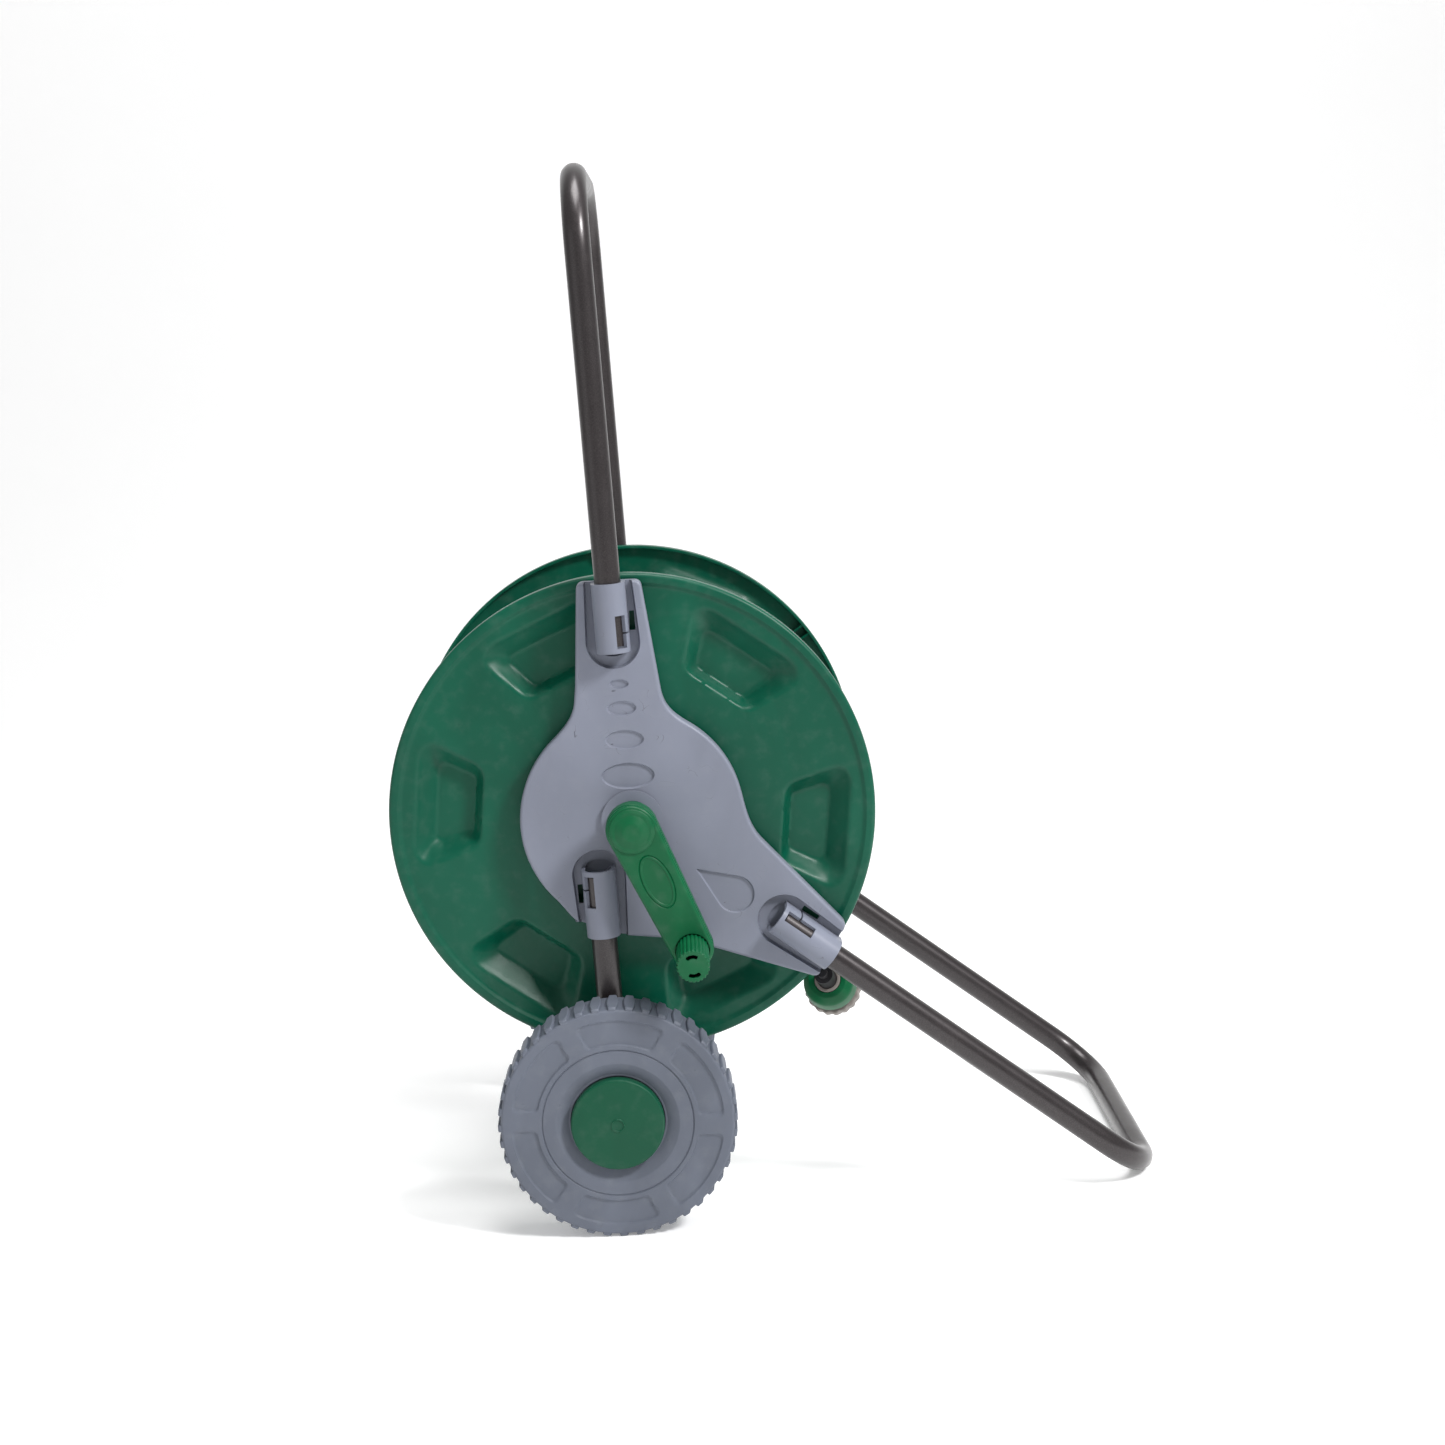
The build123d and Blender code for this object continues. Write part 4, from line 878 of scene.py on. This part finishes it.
@dataclass
class SidePlate:
    """The plate that carries the drum, the handle, the stand and a wheel's leg."""

    side: Side
    name: str
    face: float = 128.0
    back: float = 115.0
    wall: float = 3.0
    edge: float = 2.5
    disc: float = 87.0
    bore: float = 20.02
    pocket_floor: float = 122.0
    pocket_radius: float = 21.0
    pocket_mouth: float = 18.0
    pocket_centre: float = -46.0
    tube_depth: float = 134.0
    housing_radius: float = 13.0
    housing_length: float = 53.0
    window: tuple[float, float] = (-49.5, -24.5)
    window_sides: tuple[float, float] = (3.65, 10.95)
    slit: tuple[float, float] = (-39.0, -37.6)
    handle_arm: tuple = ((-33.5, 186), (-38.5, 107), (-44, 60), (33, 60), (27, 100), (15.5, 186))
    stand_arm: tuple = ((0, 0), (20, -95.5), (56, -104.5), (139, -133.5), (163, -92), (60, 23))
    leg_arm: tuple = ((0, 0), (-75, -44), (-48, -79), (-13.6, -91.5), (20, -95.5))
    sockets: tuple = (Socket(92, 2.8, 186, -1), Socket(-37.8, 2, 189, 1), Socket(272, -29.6, 88, -1))
    oval_depth: float = 1.7
    oval_wall: float = 1.1
    ovals: tuple = ((107, 7.5), (88, 11.5), (63.5, 15), (35, 20.5))

    def outline(self) -> np.ndarray:
        """The plate's outline, found along rays from the reel axis."""
        arms = [
            evened(rounded(self.handle_arm, (5, 30, 0, 0, 30, 5)), 1.5),
            evened(rounded(self.stand_arm, (0, 0, 25, 5, 5, 0)), 1.5),
            evened(rounded(self.leg_arm, (0, 0, 18, 0, 0)), 1.5),
        ]
        angle = np.radians(np.arange(0, 360, 0.2))
        rays = np.column_stack([np.cos(angle), np.sin(angle)])
        near, far = np.zeros(len(rays)), np.full(len(rays), 260.0)
        for _ in range(22):
            middle = (near + far) / 2
            inside = self.material(rays * middle[:, None], arms) > 0
            near, far = np.where(inside, middle, near), np.where(inside, far, middle)
        return evened(rays * near[:, None], 1.4)

    def material(self, points: np.ndarray, arms: list[np.ndarray]) -> np.ndarray:
        """Distance inside the plate, with soft roots where an arm leaves the round part."""
        body = self.disc - np.linalg.norm(points, axis=1)
        for arm in arms[:2]:
            inside = depth_inside(points, arm)
            share = np.clip(0.5 + 0.5 * (body - inside) / 16, 0, 1)
            body = inside + (body - inside) * share + 16 * share * (1 - share)
        return np.maximum(body, depth_inside(points, arms[2]))

    def pocket(self, socket: Socket) -> np.ndarray:
        """Outline of the pocket round a housing, running out past the end of the arm."""
        turn = np.radians(np.arange(90, 271, 7))
        arc = self.pocket_radius * np.column_stack([np.cos(turn), np.sin(turn)]) + (self.pocket_centre, 0)
        mouth = [(12, -self.pocket_mouth), (12, self.pocket_mouth)]
        return evened(socket.at(np.vstack([arc, mouth])), 1.4)

    def features(self) -> list[Feature]:
        """The pockets, the ovals, the drop and the crescent behind each housing."""
        floor = self.face - self.pocket_floor
        found = [Feature(self.pocket(socket), floor) for socket in self.sockets]
        for socket in self.sockets:
            crescent = ellipse((-self.housing_length, 0), 5.5, 10.5)
            found.append(Feature(socket.at(crescent), floor + 2.6, 0.8))
        ovals = [ellipse((-0.045 * height, height), half, half / 2) for height, half in self.ovals]
        ovals.append(self.drop_shape((47, -41), (77, -63), 15))
        found += [Feature(shape, self.oval_depth, self.oval_wall) for shape in ovals]
        return found

    @staticmethod
    def drop_shape(tip: tuple[float, float], centre: tuple[float, float], radius: float) -> np.ndarray:
        """Outline of a drop: a round end with straight sides that meet at a tip."""
        run = np.array(tip) - np.array(centre)
        heading = math.atan2(run[1], run[0])
        spread = math.acos(radius / np.linalg.norm(run))
        turn = np.linspace(heading + spread, heading - spread + 2 * math.pi, 40)
        arc = np.array(centre) + radius * np.column_stack([np.cos(turn), np.sin(turn)])
        return evened(np.vstack([arc, [tip]]), 1.2)

    def latch(self, socket: Socket) -> np.ndarray:
        """Outline of the slot beside a housing's snap tongue, with the foot of its slit."""
        corners = [(-39, 13.2), (-24, 14.2), (-24, 17.8), (-39, 17.8)]
        corners = [(along, socket.hand * left) for along, left in corners]
        return socket.at(np.array(corners if socket.hand < 0 else corners[::-1]))[::-1]

    def housing(self, mould: Mould, socket: Socket) -> None:
        """Adds a housing: a half cylinder on straight sides, with its window and slit left open."""
        inner, outer = (math.asin(s / self.housing_radius) for s in self.window_sides)
        half_turn = np.linspace(-math.pi / 2, math.pi / 2, 31)
        turns = sorted({*half_turn, socket.hand * inner, socket.hand * outer})
        rise = self.tube_depth - self.pocket_floor
        section = [(-self.housing_radius, -rise - 0.5)]
        section += [(self.housing_radius * math.sin(t), self.housing_radius * math.cos(t)) for t in turns]
        section += [(self.housing_radius, -rise - 0.5)]
        stations = sorted({*np.linspace(-self.housing_length, 0, 28), *self.window, *self.slit})
        rows = np.array([
            [(*socket.at(np.array([along, left])), self.tube_depth + lift) for left, lift in section]
            for along in stations
        ])
        columns = len(section)
        faces = []
        for i in range(len(stations) - 1):
            middle = (stations[i] + stations[i + 1]) / 2
            for k in range(columns - 1):
                left = socket.hand * (section[k][0] + section[k + 1][0]) / 2
                high = (section[k][1] + section[k + 1][1]) / 2 > 0
                in_window = self.window[0] < middle < self.window[1]
                in_window &= self.window_sides[0] < left < self.window_sides[1]
                in_slit = self.slit[0] < middle < self.slit[1] and left > self.window_sides[1]
                if (in_window and high) or in_slit:
                    continue
                first = i * columns + k
                faces.append((first, first + 1, first + columns + 1, first + columns))
        mould.add(rows.reshape(-1, 3), faces)

    def build(self, finishes: Finishes) -> None:
        """Builds the plate with its three housings."""
        seat = side_seat(self.side, mirrored=True)
        bore = ellipse((0, 0), self.bore, self.bore)
        plate = Mould(self.name, seat)
        holes = [bore] + [self.latch(socket) for socket in self.sockets]
        Relief(self.outline(), self.edge, self.features(), holes).pour(plate, self.face, self.back)
        mesh = plate.mesh(self.wall)
        for socket in self.sockets:
            shell = Mould(self.name, seat)
            self.housing(shell, socket)
            mesh = joined(mesh, shell.mesh(2.9))
        finish = finishes.by_slot["plate_grey"]
        shown(mesh, f"{self.name}_moulding", "frame", finish, [self.name], 42)


def joined(first: bpy.types.Mesh, second: bpy.types.Mesh) -> bpy.types.Mesh:
    """Both meshes as one."""
    work = bmesh.new()
    work.from_mesh(first)
    work.from_mesh(second)
    work.to_mesh(first)
    work.free()
    return first


# ---- Drum
@dataclass
class Flange:
    """A drum flange: rolled rim, sunk pockets with sloping walls, and a well round its journal."""

    side: Side
    name: str
    journal_end: float
    radius: float = 190.0
    rim_face: float = 112.0
    rim_back: float = 100.0
    panel: float = 110.0
    wall: float = 2.5
    well_radius: float = 84.0
    well_floor: float = 102.0
    journal: float = 16.0
    journal_bore: float = 12.0
    journal_inner: float = 88.0
    pockets: int = 6
    first_pocket: float = -6.0
    pocket_depth: float = 12.5
    steps: int = 432

    def profile(self) -> np.ndarray:
        """Closed section of the flange, with points close together on the panel."""
        back, well_back = self.panel - self.wall, self.well_floor - self.wall
        corners = [
            (self.rim_back, self.radius),
            (self.rim_face, self.radius),
            (self.rim_face, self.radius - 7),
            (self.panel, self.radius - 10),
            (self.panel, self.well_radius),
            (self.well_floor, self.well_radius - 6),
            (self.well_floor, self.journal),
            (self.journal_end, self.journal),
            (self.journal_end, self.journal_bore),
            (self.journal_inner, self.journal_bore),
            (self.journal_inner, self.journal + 2),
            (well_back, self.journal + 2),
            (well_back, self.well_radius - 4),
            (back, self.well_radius + 2),
            (back, self.radius - 2.5),
            (self.rim_back, self.radius - 2.5),
        ]
        radii = (0.6, 3.2, 1.0, 4, 2.5, 2, 1.5, 0.8, 0.6, 0.5, 0.5, 1, 2, 2, 1, 0.6)

        def step_of(here: np.ndarray, there: np.ndarray) -> float:
            """Fine steps on the panel's front, coarser ones on its back."""
            on_panel = abs(here[0] - there[0]) < 1e-6 and min(here[1], there[1]) > self.well_radius - 3
            return (1.7 if here[0] > self.panel - 1 else 2.6) if on_panel else 0

        return refined(rounded(corners, radii), step_of)

    def sinking(self, points: np.ndarray, grow: float) -> np.ndarray:
        """How far the panel is sunk at points on the pocket's own axes."""
        half_mouth = [(117 - grow, 31 + grow), (160, 50 + grow), (170 + grow, 40)]
        half_floor = [(123.5 - grow, 22 + grow), (153 + grow, 33 + grow)]
        mouth, floor = (
            evened(rounded([(x, -y) for x, y in half] + half[::-1], radii + radii[::-1]), 2)
            for half, radii in ((half_mouth, (13, 16, 16)), (half_floor, (4, 5)))
        )
        into = np.maximum(depth_inside(points, mouth), 0)
        above = np.maximum(-depth_inside(points, floor), 0)
        share = into / np.maximum(into + above, 1e-6)
        lip = np.clip(into / 3.5, 0, 1)
        return self.pocket_depth * share * (0.55 + 0.45 * lip)

    def build(self, finishes: Finishes, ring: RingOfCopies) -> None:
        """Turns the section, sinks the pockets and sets the ribs in the rim."""
        seat = side_seat(self.side)
        profile = self.profile()
        angles, reach = turns_of(self.steps), profile[:, 1]
        depth = np.tile(profile[:, 0], (self.steps, 1))
        centre = math.radians(self.first_pocket)
        sunk = (reach > self.well_radius + 4) & (reach < self.radius - 8)
        for level, grow in ((self.panel, 0.0), (self.panel - self.wall, 1.2)):
            columns = np.where(sunk & (np.abs(profile[:, 0] - level) < 0.02))[0]
            spread = on_sector(reach[columns], angles, centre, self.pockets)
            depth[:, columns] -= self.sinking(spread.reshape(-1, 2), grow).reshape(self.steps, -1)
        mould = Mould(self.name, seat)
        mould.grid(np.dstack([polar(reach, angles), depth]), True, True)
        green = finishes.by_slot["flange_green"]
        shown(mould.mesh(), f"{self.name}_moulding", "drum", green, [self.name], 50)
        inner, outer = self.rim_back + 0.4, self.panel - self.wall + 0.2
        rows = [(168, 0.5, outer - 1.5, outer), (182, 0.8, inner + 1.5, outer), (188.2, 0.8, inner, outer)]
        rib = block(rows)
        offset = 180 / self.pockets + self.first_pocket
        for tag, shift in (("a", -1.4), ("b", 1.4)):
            ribs = ring.make(rib.copy(), self.pockets, offset + shift, seat, green)
            shown(ribs, f"{self.name}_rim_ribs_{tag}", "drum", green)


# ---- Wheels
@dataclass
class Wheel:
    """A moulded wheel with a lugged tread, six sunk panels and a snap-in hub cap."""

    side: Side
    tag: str
    body: str
    radius: float = 92.0
    inner: float = 150.0
    face: float = 186.0
    lug: float = 2.2
    lugs: int = 44
    panel_turn: float = -4.0
    panel_count: int = 6
    dish: float = 47.5
    cap_radius: float = 36.0
    cap_floor: float = 178.0
    cap_reach: float = 192.0
    axle: float = 5.05
    hub: float = 13.0
    steps: int = 360

    def profile(self) -> np.ndarray:
        """Closed section of the wheel, fine over the panels."""
        tread = self.radius - self.lug
        corners = [
            (self.inner, tread - 6),
            (self.inner, tread),
            (self.face, tread),
            (self.face, self.dish + 11.4),
            (self.face - 1.1, self.dish + 10.6),
            (self.face - 0.3, self.dish + 9.8),
            (self.face - 0.3, self.dish),
            (self.face - 5, self.cap_radius + 2),
            (self.face - 5, self.cap_radius + 0.3),
            (self.cap_floor, self.cap_radius + 0.3),
            (self.cap_floor, self.axle),
            (self.inner, self.axle),
            (self.inner, self.hub),
            (self.cap_floor - 4, self.hub),
            (self.cap_floor - 4, self.cap_radius + 3),
            (self.face - 5, self.dish + 3),
            (self.face - 5, tread - 6),
        ]
        radii = (0.8, 1.5, 2.2, 0.3, 0.2, 0.3, 2.2, 1, 0.4, 1, 0.3, 0.3, 1, 2, 1, 1, 2)

        def step_of(here: np.ndarray, there: np.ndarray) -> float:
            """Fine steps on the flat part of the face."""
            return 0.55 if max(abs(here[0] - self.face), abs(there[0] - self.face)) < 1e-6 else 0

        return refined(rounded(corners, radii), step_of)

    def panels(self, spread: np.ndarray) -> np.ndarray:
        """How far the face is sunk at points on a panel's own axes."""
        low, high, gap = 62.0, 82.0, 7.5
        ends = [math.pi / self.panel_count - math.asin(gap / radius) for radius in (low, high)]
        turns = np.linspace(-1, 1, 7)
        inner = [(low * math.cos(t), low * math.sin(t)) for t in turns[::-1] * ends[0]]
        outer = [(high * math.cos(t), high * math.sin(t)) for t in turns * ends[1]]
        loop = evened(rounded(outer + inner, (4, 0, 0, 0, 0, 0, 4) * 2), 1.0)
        return 1.5 * eased((depth_inside(spread, loop) + 0.2) / 1.5)

    def build(self, finishes: Finishes, ring: RingOfCopies) -> None:
        """Builds the wheel, its tread and its cap."""
        seat = side_seat(self.side, AXLE)
        profile = self.profile()
        angles, reach = turns_of(self.steps), profile[:, 1]
        depth = np.tile(profile[:, 0], (self.steps, 1))
        flat = (np.abs(profile[:, 0] - self.face) < 1e-6) & (reach > 59.5) & (reach < 84)
        columns = np.where(flat)[0]
        centre = math.pi / 2 - math.radians(self.panel_turn) * self.side.value
        spread = on_sector(reach[columns], angles, centre, self.panel_count)
        depth[:, columns] -= self.panels(spread.reshape(-1, 2)).reshape(self.steps, -1)
        mould = Mould(f"wheel_{self.tag}", seat)
        mould.grid(np.dstack([polar(reach, angles), depth]), True, True)
        grey = finishes.by_slot["wheel_grey"]
        name = f"wheel_{self.tag}"
        shown(mould.mesh(), f"{name}_moulding", self.body, grey, [name])
        self.tread(ring, seat, grey)
        self.cap(finishes, seat)

    def tread(self, ring: RingOfCopies, seat: Seat, grey: bpy.types.Material) -> None:
        """Sets ribs across the tread; each widens towards the middle, so the gaps between them taper."""
        foot, top = self.radius - self.lug - 0.8, self.radius
        near, far = self.inner + 0.9, self.face - 0.7
        middle = (near + far) / 2
        narrow, wide, middle_wide, chamfer = 2.7, 3.2, 4.6, 1.3
        stations = (
            (near, narrow, chamfer),
            (near + 1.4, wide, 0),
            (middle - 5, middle_wide, 0),
            (middle + 5, middle_wide, 0),
            (far - 1.4, wide, 0),
            (far, narrow, chamfer),
        )
        rib = bar([(depth, half, foot, top - fall) for depth, half, fall in stations])
        made = ring.make(rib, self.lugs, -90, seat, grey)
        shown(made, f"wheel_{self.tag}_tread_ribs", self.body, grey)

    def cap(self, finishes: Finishes, seat: Seat) -> None:
        """Turns the hub cap with its small ring."""
        top = self.cap_reach
        corners = [
            (self.cap_floor + 4, self.cap_radius - 3),
            (self.cap_floor + 4, self.cap_radius),
            (self.face + 4.2, self.cap_radius),
            (top - 1.2, self.cap_radius - 18),
            (top - 0.9, 5.4),
            (top, 4.8),
            (top - 0.9, 4.1),
            (top - 0.8, 0),
            (top - 3, 0),
            (self.face + 1.5, self.cap_radius - 3),
        ]
        mould = Mould(f"hub_cap_{self.tag}", seat)
        mould.lathe(rounded(corners, (0.3, 0.3, 2.0, 0, 0.1, 0.3, 0.1, 0, 0, 1)), 128)
        green = finishes.by_slot["cap_green"]
        name = f"hub_cap_{self.tag}"
        shown(mould.mesh(), f"{name}_moulding", self.body, green, [name])


# ---- Crank
@dataclass
class Crank:
    """The crank: a shell arm, its cover with a domed hub, and the ribbed knob."""

    reach: float = 104.0
    angle: float = -66.4
    hub: float = 20.0
    tip: float = 16.5
    back: float = 152.0
    split: float = 163.0
    cover_face: float = 168.2
    knob_radius: float = 12.6
    knob_back: float = 166.0
    knob_end: float = 212.0
    knob_ribs: int = 24

    def outline(self, trim: float) -> np.ndarray:
        """The hull of the hub's circle and the tip's."""
        lean = math.acos((self.hub - self.tip) / self.reach)
        turn = math.radians(self.angle)
        tail = np.linspace(turn + lean, turn - lean + 2 * math.pi, 60)
        nose = np.linspace(turn - lean, turn + lean, 50)
        end = np.array([math.cos(turn), math.sin(turn)]) * self.reach
        hub = (self.hub - trim) * np.column_stack([np.cos(tail), np.sin(tail)])
        tip = end + (self.tip - trim) * np.column_stack([np.cos(nose), np.sin(nose)])
        return evened(np.vstack([hub, tip]), 1.3)

    def knob_seat(self) -> Seat:
        """Seat on the knob's axis."""
        turn = math.radians(self.angle)
        return side_seat(Side.CRANK, REEL + Vector((math.cos(turn), 0, math.sin(turn))) * self.reach * MM)

    def build(self, finishes: Finishes) -> None:
        """Builds the arm, the cover and the knob."""
        seat, green = side_seat(Side.CRANK), finishes.by_slot["crank_green"]
        arm = Mould("crank_arm", seat)
        Relief(self.outline(0), 0.7, [], [ellipse((0, 0), 6, 6)]).pour(arm, self.split, self.back)
        shown(arm.mesh(2.5), "crank_arm_moulding", "drum", green, ["crank_arm"])
        turn = math.radians(self.angle)
        end = (self.reach * math.cos(turn), self.reach * math.sin(turn))
        oval = ellipse((0.42 * end[0], 0.42 * end[1]), 22, 11, self.angle)
        features = [Feature(oval, 0.7, 0.7, Sunk.GROOVE), Feature(inset(oval, 1.9), 0.5, 0.7)]
        knob_hole = ellipse(end, self.knob_radius + 0.8, self.knob_radius + 0.8)
        cover = Mould("crank_cover", seat)
        Relief(self.outline(0.5), 2.6, features, [knob_hole]).pour(cover, self.cover_face, self.split + 0.15)
        mesh = cover.mesh(1.8)
        dome = Mould("crank_dome", seat)
        rise = self.cover_face
        corners = [
            (rise - 3, 0),
            (rise - 3, self.hub - 2.6),
            (rise + 1.2, self.hub - 2.6),
            (rise + 2.2, self.hub - 5.2),
            (rise + 2.4, self.hub - 7.0),
            (rise + 5.4, 7),
            (rise + 5.8, 0),
        ]
        dome.lathe(rounded(corners, (0, 0.5, 1.1, 0.5, 1.0, 6, 0)), 96)
        mesh = joined(mesh, dome.mesh())
        shown(mesh, "crank_cover_moulding", "drum", green, ["crank_cover"])
        self.knob(green)

    def knob(self, green: bpy.types.Material) -> None:
        """Builds the ribbed knob with two crescent openings in its end."""
        turn = np.linspace(0, 2 * math.pi, self.knob_ribs * 12, endpoint=False)
        radius = self.knob_radius - 0.85 * (0.5 - 0.5 * np.cos(self.knob_ribs * turn)) ** 2
        rim = radius[:, None] * np.column_stack([np.cos(turn), np.sin(turn)])
        holes = []
        for middle in (math.radians(97), math.radians(277)):
            arc = np.linspace(middle - 0.62, middle + 0.62, 18)
            outer = 9.0 * np.column_stack([np.cos(arc), np.sin(arc)])
            inner = 5.9 * np.column_stack([np.cos(arc), np.sin(arc)])[::-1]
            corners = np.vstack([outer[[0, 6, 12, 17]], inner[[0, 6, 11, 17]]])
            ends = rounded(corners, (1, 0, 0, 1, 1, 0, 0, 1))
            holes.append(evened(ends, 0.8))
        mould = Mould("crank_knob", self.knob_seat())
        Relief(rim, 0.9, [], holes).pour(mould, self.knob_end, self.knob_back)
        shown(mould.mesh(2.0), "crank_knob_moulding", "knob", green, ["crank_knob"])


# ---- Parked connector
@dataclass
class Connector:
    """The hose connector that is parked on the spigot of the crank side's plate."""

    mouth: float = 18.0
    lobes: int = 18
    lobe_depth: float = 0.05

    def seat(self) -> Seat:
        """Seat on the spigot's axis, with depth 0 at its shoulder."""
        low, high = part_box("connector_seal")
        middle = (low + high) / 2
        return axis_seat(middle - SLEEVE_WAY * (self.mouth + 15) * MM, SLEEVE_WAY)

    def build(self, finishes: Finishes) -> None:
        """Builds the sleeve, the body and the nut."""
        body = [(0, 7.6), (0, 10.4), (18, 10.4), (18, 15), (22, 15), (22, 11)]
        body += [(46, 11), (46, 6), (20, 6), (20, 7.6)]
        body_radii = (0.8, 0.9, 0.2, 0.6, 0.6, 0.2, 0.5, 0.5, 0.2, 0.2)
        sleeve = [(0.6, 10.8), (0.6, 15), (5, 20.3), (17, 21.6), (17, 15.6), (9, 15.6), (9, 10.8)]
        sleeve_radii = (0.4, 1.6, 6, 1.0, 0.4, 0.4, 0.3)
        nut = [(22.2, 11.3), (22.2, 23), (30, 23), (44, 19), (50, 15), (50, 9), (47, 9), (47, 11.3)]
        nut_radii = (0.3, 1.5, 3, 4, 1.2, 0.6, 0.2, 0.3)
        seat = self.seat()
        for name, rides, slot, section, radii, steps, lobes in (
            ("connector_body", "frame", "connector_grey", body, body_radii, 72, 0),
            ("connector_sleeve", "sleeve", "crank_green", sleeve, sleeve_radii, 96, 0),
            ("connector_nut", "frame", "connector_grey", nut, nut_radii, self.lobes * 10, self.lobes),
        ):
            mould = Mould(name, seat)
            profile = rounded([(self.mouth + depth, radius) for depth, radius in section], radii)
            mould.lathe(profile, steps, lobes, self.lobe_depth)
            shown(mould.mesh(), f"{name}_moulding", rides, finishes.by_slot[slot], [name])


# ---- Studio
@dataclass
class Studio:
    """Pale sweep, soft lights and the camera."""

    camera_from_reel: tuple[float, float, float] = (0.0451, -1.8672, 0.3856)
    heading: float = -0.92
    down: float = 10.18
    roll: float = -2.605
    lens: float = 57.3
    sensor: float = 36.0

    def sweep(self) -> None:
        """Floor that curves up into a backdrop."""
        half, depth, rise, bend = 6.0, 3.4, 5.0, 1.6
        turn = np.linspace(-math.pi / 2, 0, 24)
        arc = [(depth - bend + bend * math.cos(t), bend + bend * math.sin(t)) for t in turn]
        curve = [(-5.0, 0.0), *arc, (depth, rise)]
        points = [(x, y, z) for y, z in curve for x in (-half, half)]
        faces = [(2 * i, 2 * i + 1, 2 * i + 3, 2 * i + 2) for i in range(len(curve) - 1)]
        mesh = bpy.data.meshes.new("sweep")
        mesh.from_pydata(points, [], faces)
        mesh.shade_smooth()
        floor = bpy.data.objects.new("sweep", mesh)
        bpy.context.scene.collection.objects.link(floor)
        shader = Shader("sweep_paper")
        tone = shader.noise(shader.spot(), 0.002, 2)
        paper = shader.blend(tone, (0.90, 0.90, 0.90, 1), (0.93, 0.93, 0.93, 1))
        shader.feed(shader.surface.inputs["Base Color"], paper)
        shader.surface.inputs["Roughness"].default_value = 0.9
        shader.surface.inputs["Emission Color"].default_value = (1, 1, 1, 1)
        shader.surface.inputs["Emission Strength"].default_value = 0.22
        mesh.materials.append(shader.material)

    def light(self, name: str, place: tuple[float, float, float], size: float, watts: float) -> None:
        """A square soft light aimed at the reel."""
        lamp = bpy.data.lights.new(name, "AREA")
        lamp.size, lamp.energy = size, watts
        holder = bpy.data.objects.new(name, lamp)
        holder.location = place
        holder.rotation_euler = (REEL - Vector(place)).to_track_quat("-Z", "Y").to_euler()
        bpy.context.scene.collection.objects.link(holder)

    def build(self) -> None:
        """Sets the sweep, the lights, the world and the camera."""
        self.sweep()
        self.light("key", (1.45, -1.25, 2.0), size=0.45, watts=62)
        self.light("top", (0.1, -0.2, 2.5), size=1.0, watts=36)
        self.light("fill", (-1.9, -1.6, 0.9), size=1.8, watts=5)
        world = bpy.data.worlds.new("studio")
        world.use_nodes = True
        world.node_tree.nodes["Background"].inputs["Color"].default_value = (1, 1, 1, 1)
        world.node_tree.nodes["Background"].inputs["Strength"].default_value = 0.40
        bpy.context.scene.world = world
        bpy.context.scene.view_settings.view_transform = "Standard"
        data = bpy.data.cameras.new("camera")
        data.lens, data.sensor_width = self.lens, self.sensor
        camera = bpy.data.objects.new("camera", data)
        turn = Matrix.Identity(4)
        for angle, axis in ((self.heading, "Z"), (90 - self.down, "X"), (self.roll, "Z")):
            turn = turn @ Matrix.Rotation(math.radians(angle), 4, axis)
        camera.matrix_world = Matrix.Translation(REEL + Vector(self.camera_from_reel)) @ turn
        bpy.context.scene.collection.objects.link(camera)
        bpy.context.scene.camera = camera


def main() -> None:
    """Builds the cart and the studio."""
    logging.basicConfig(level=logging.INFO, format="%(message)s")
    finishes, ring = Finishes(), RingOfCopies()
    finishes.dress_nodes()
    Studio().build()
    Tube("handle_tube", angle=92.0, offset=2.8, start=138.0, reach=490.0, bend=58.0).build(finishes)
    slope, offset = math.radians(37.8), 2.0
    reach = (REEL.z / MM - Tube.radius + offset * math.cos(slope)) / math.sin(slope)
    Tube("stand_tube", -math.degrees(slope), offset, start=141.0, reach=reach, bend=45.0).build(finishes)
    sides = ((Side.CRANK, "crank", "wheel_near", 151.0), (Side.INLET, "inlet", "wheel_far", 139.0))
    for side, tag, body, journal_end in sides:
        Flange(side, f"flange_{tag}", journal_end).build(finishes, ring)
        SidePlate(side, f"side_plate_{tag}").build(finishes)
        Wheel(side, tag, body).build(finishes, ring)
    Crank().build(finishes)
    Connector().build(finishes)


if __name__ == "__main__":
    main()
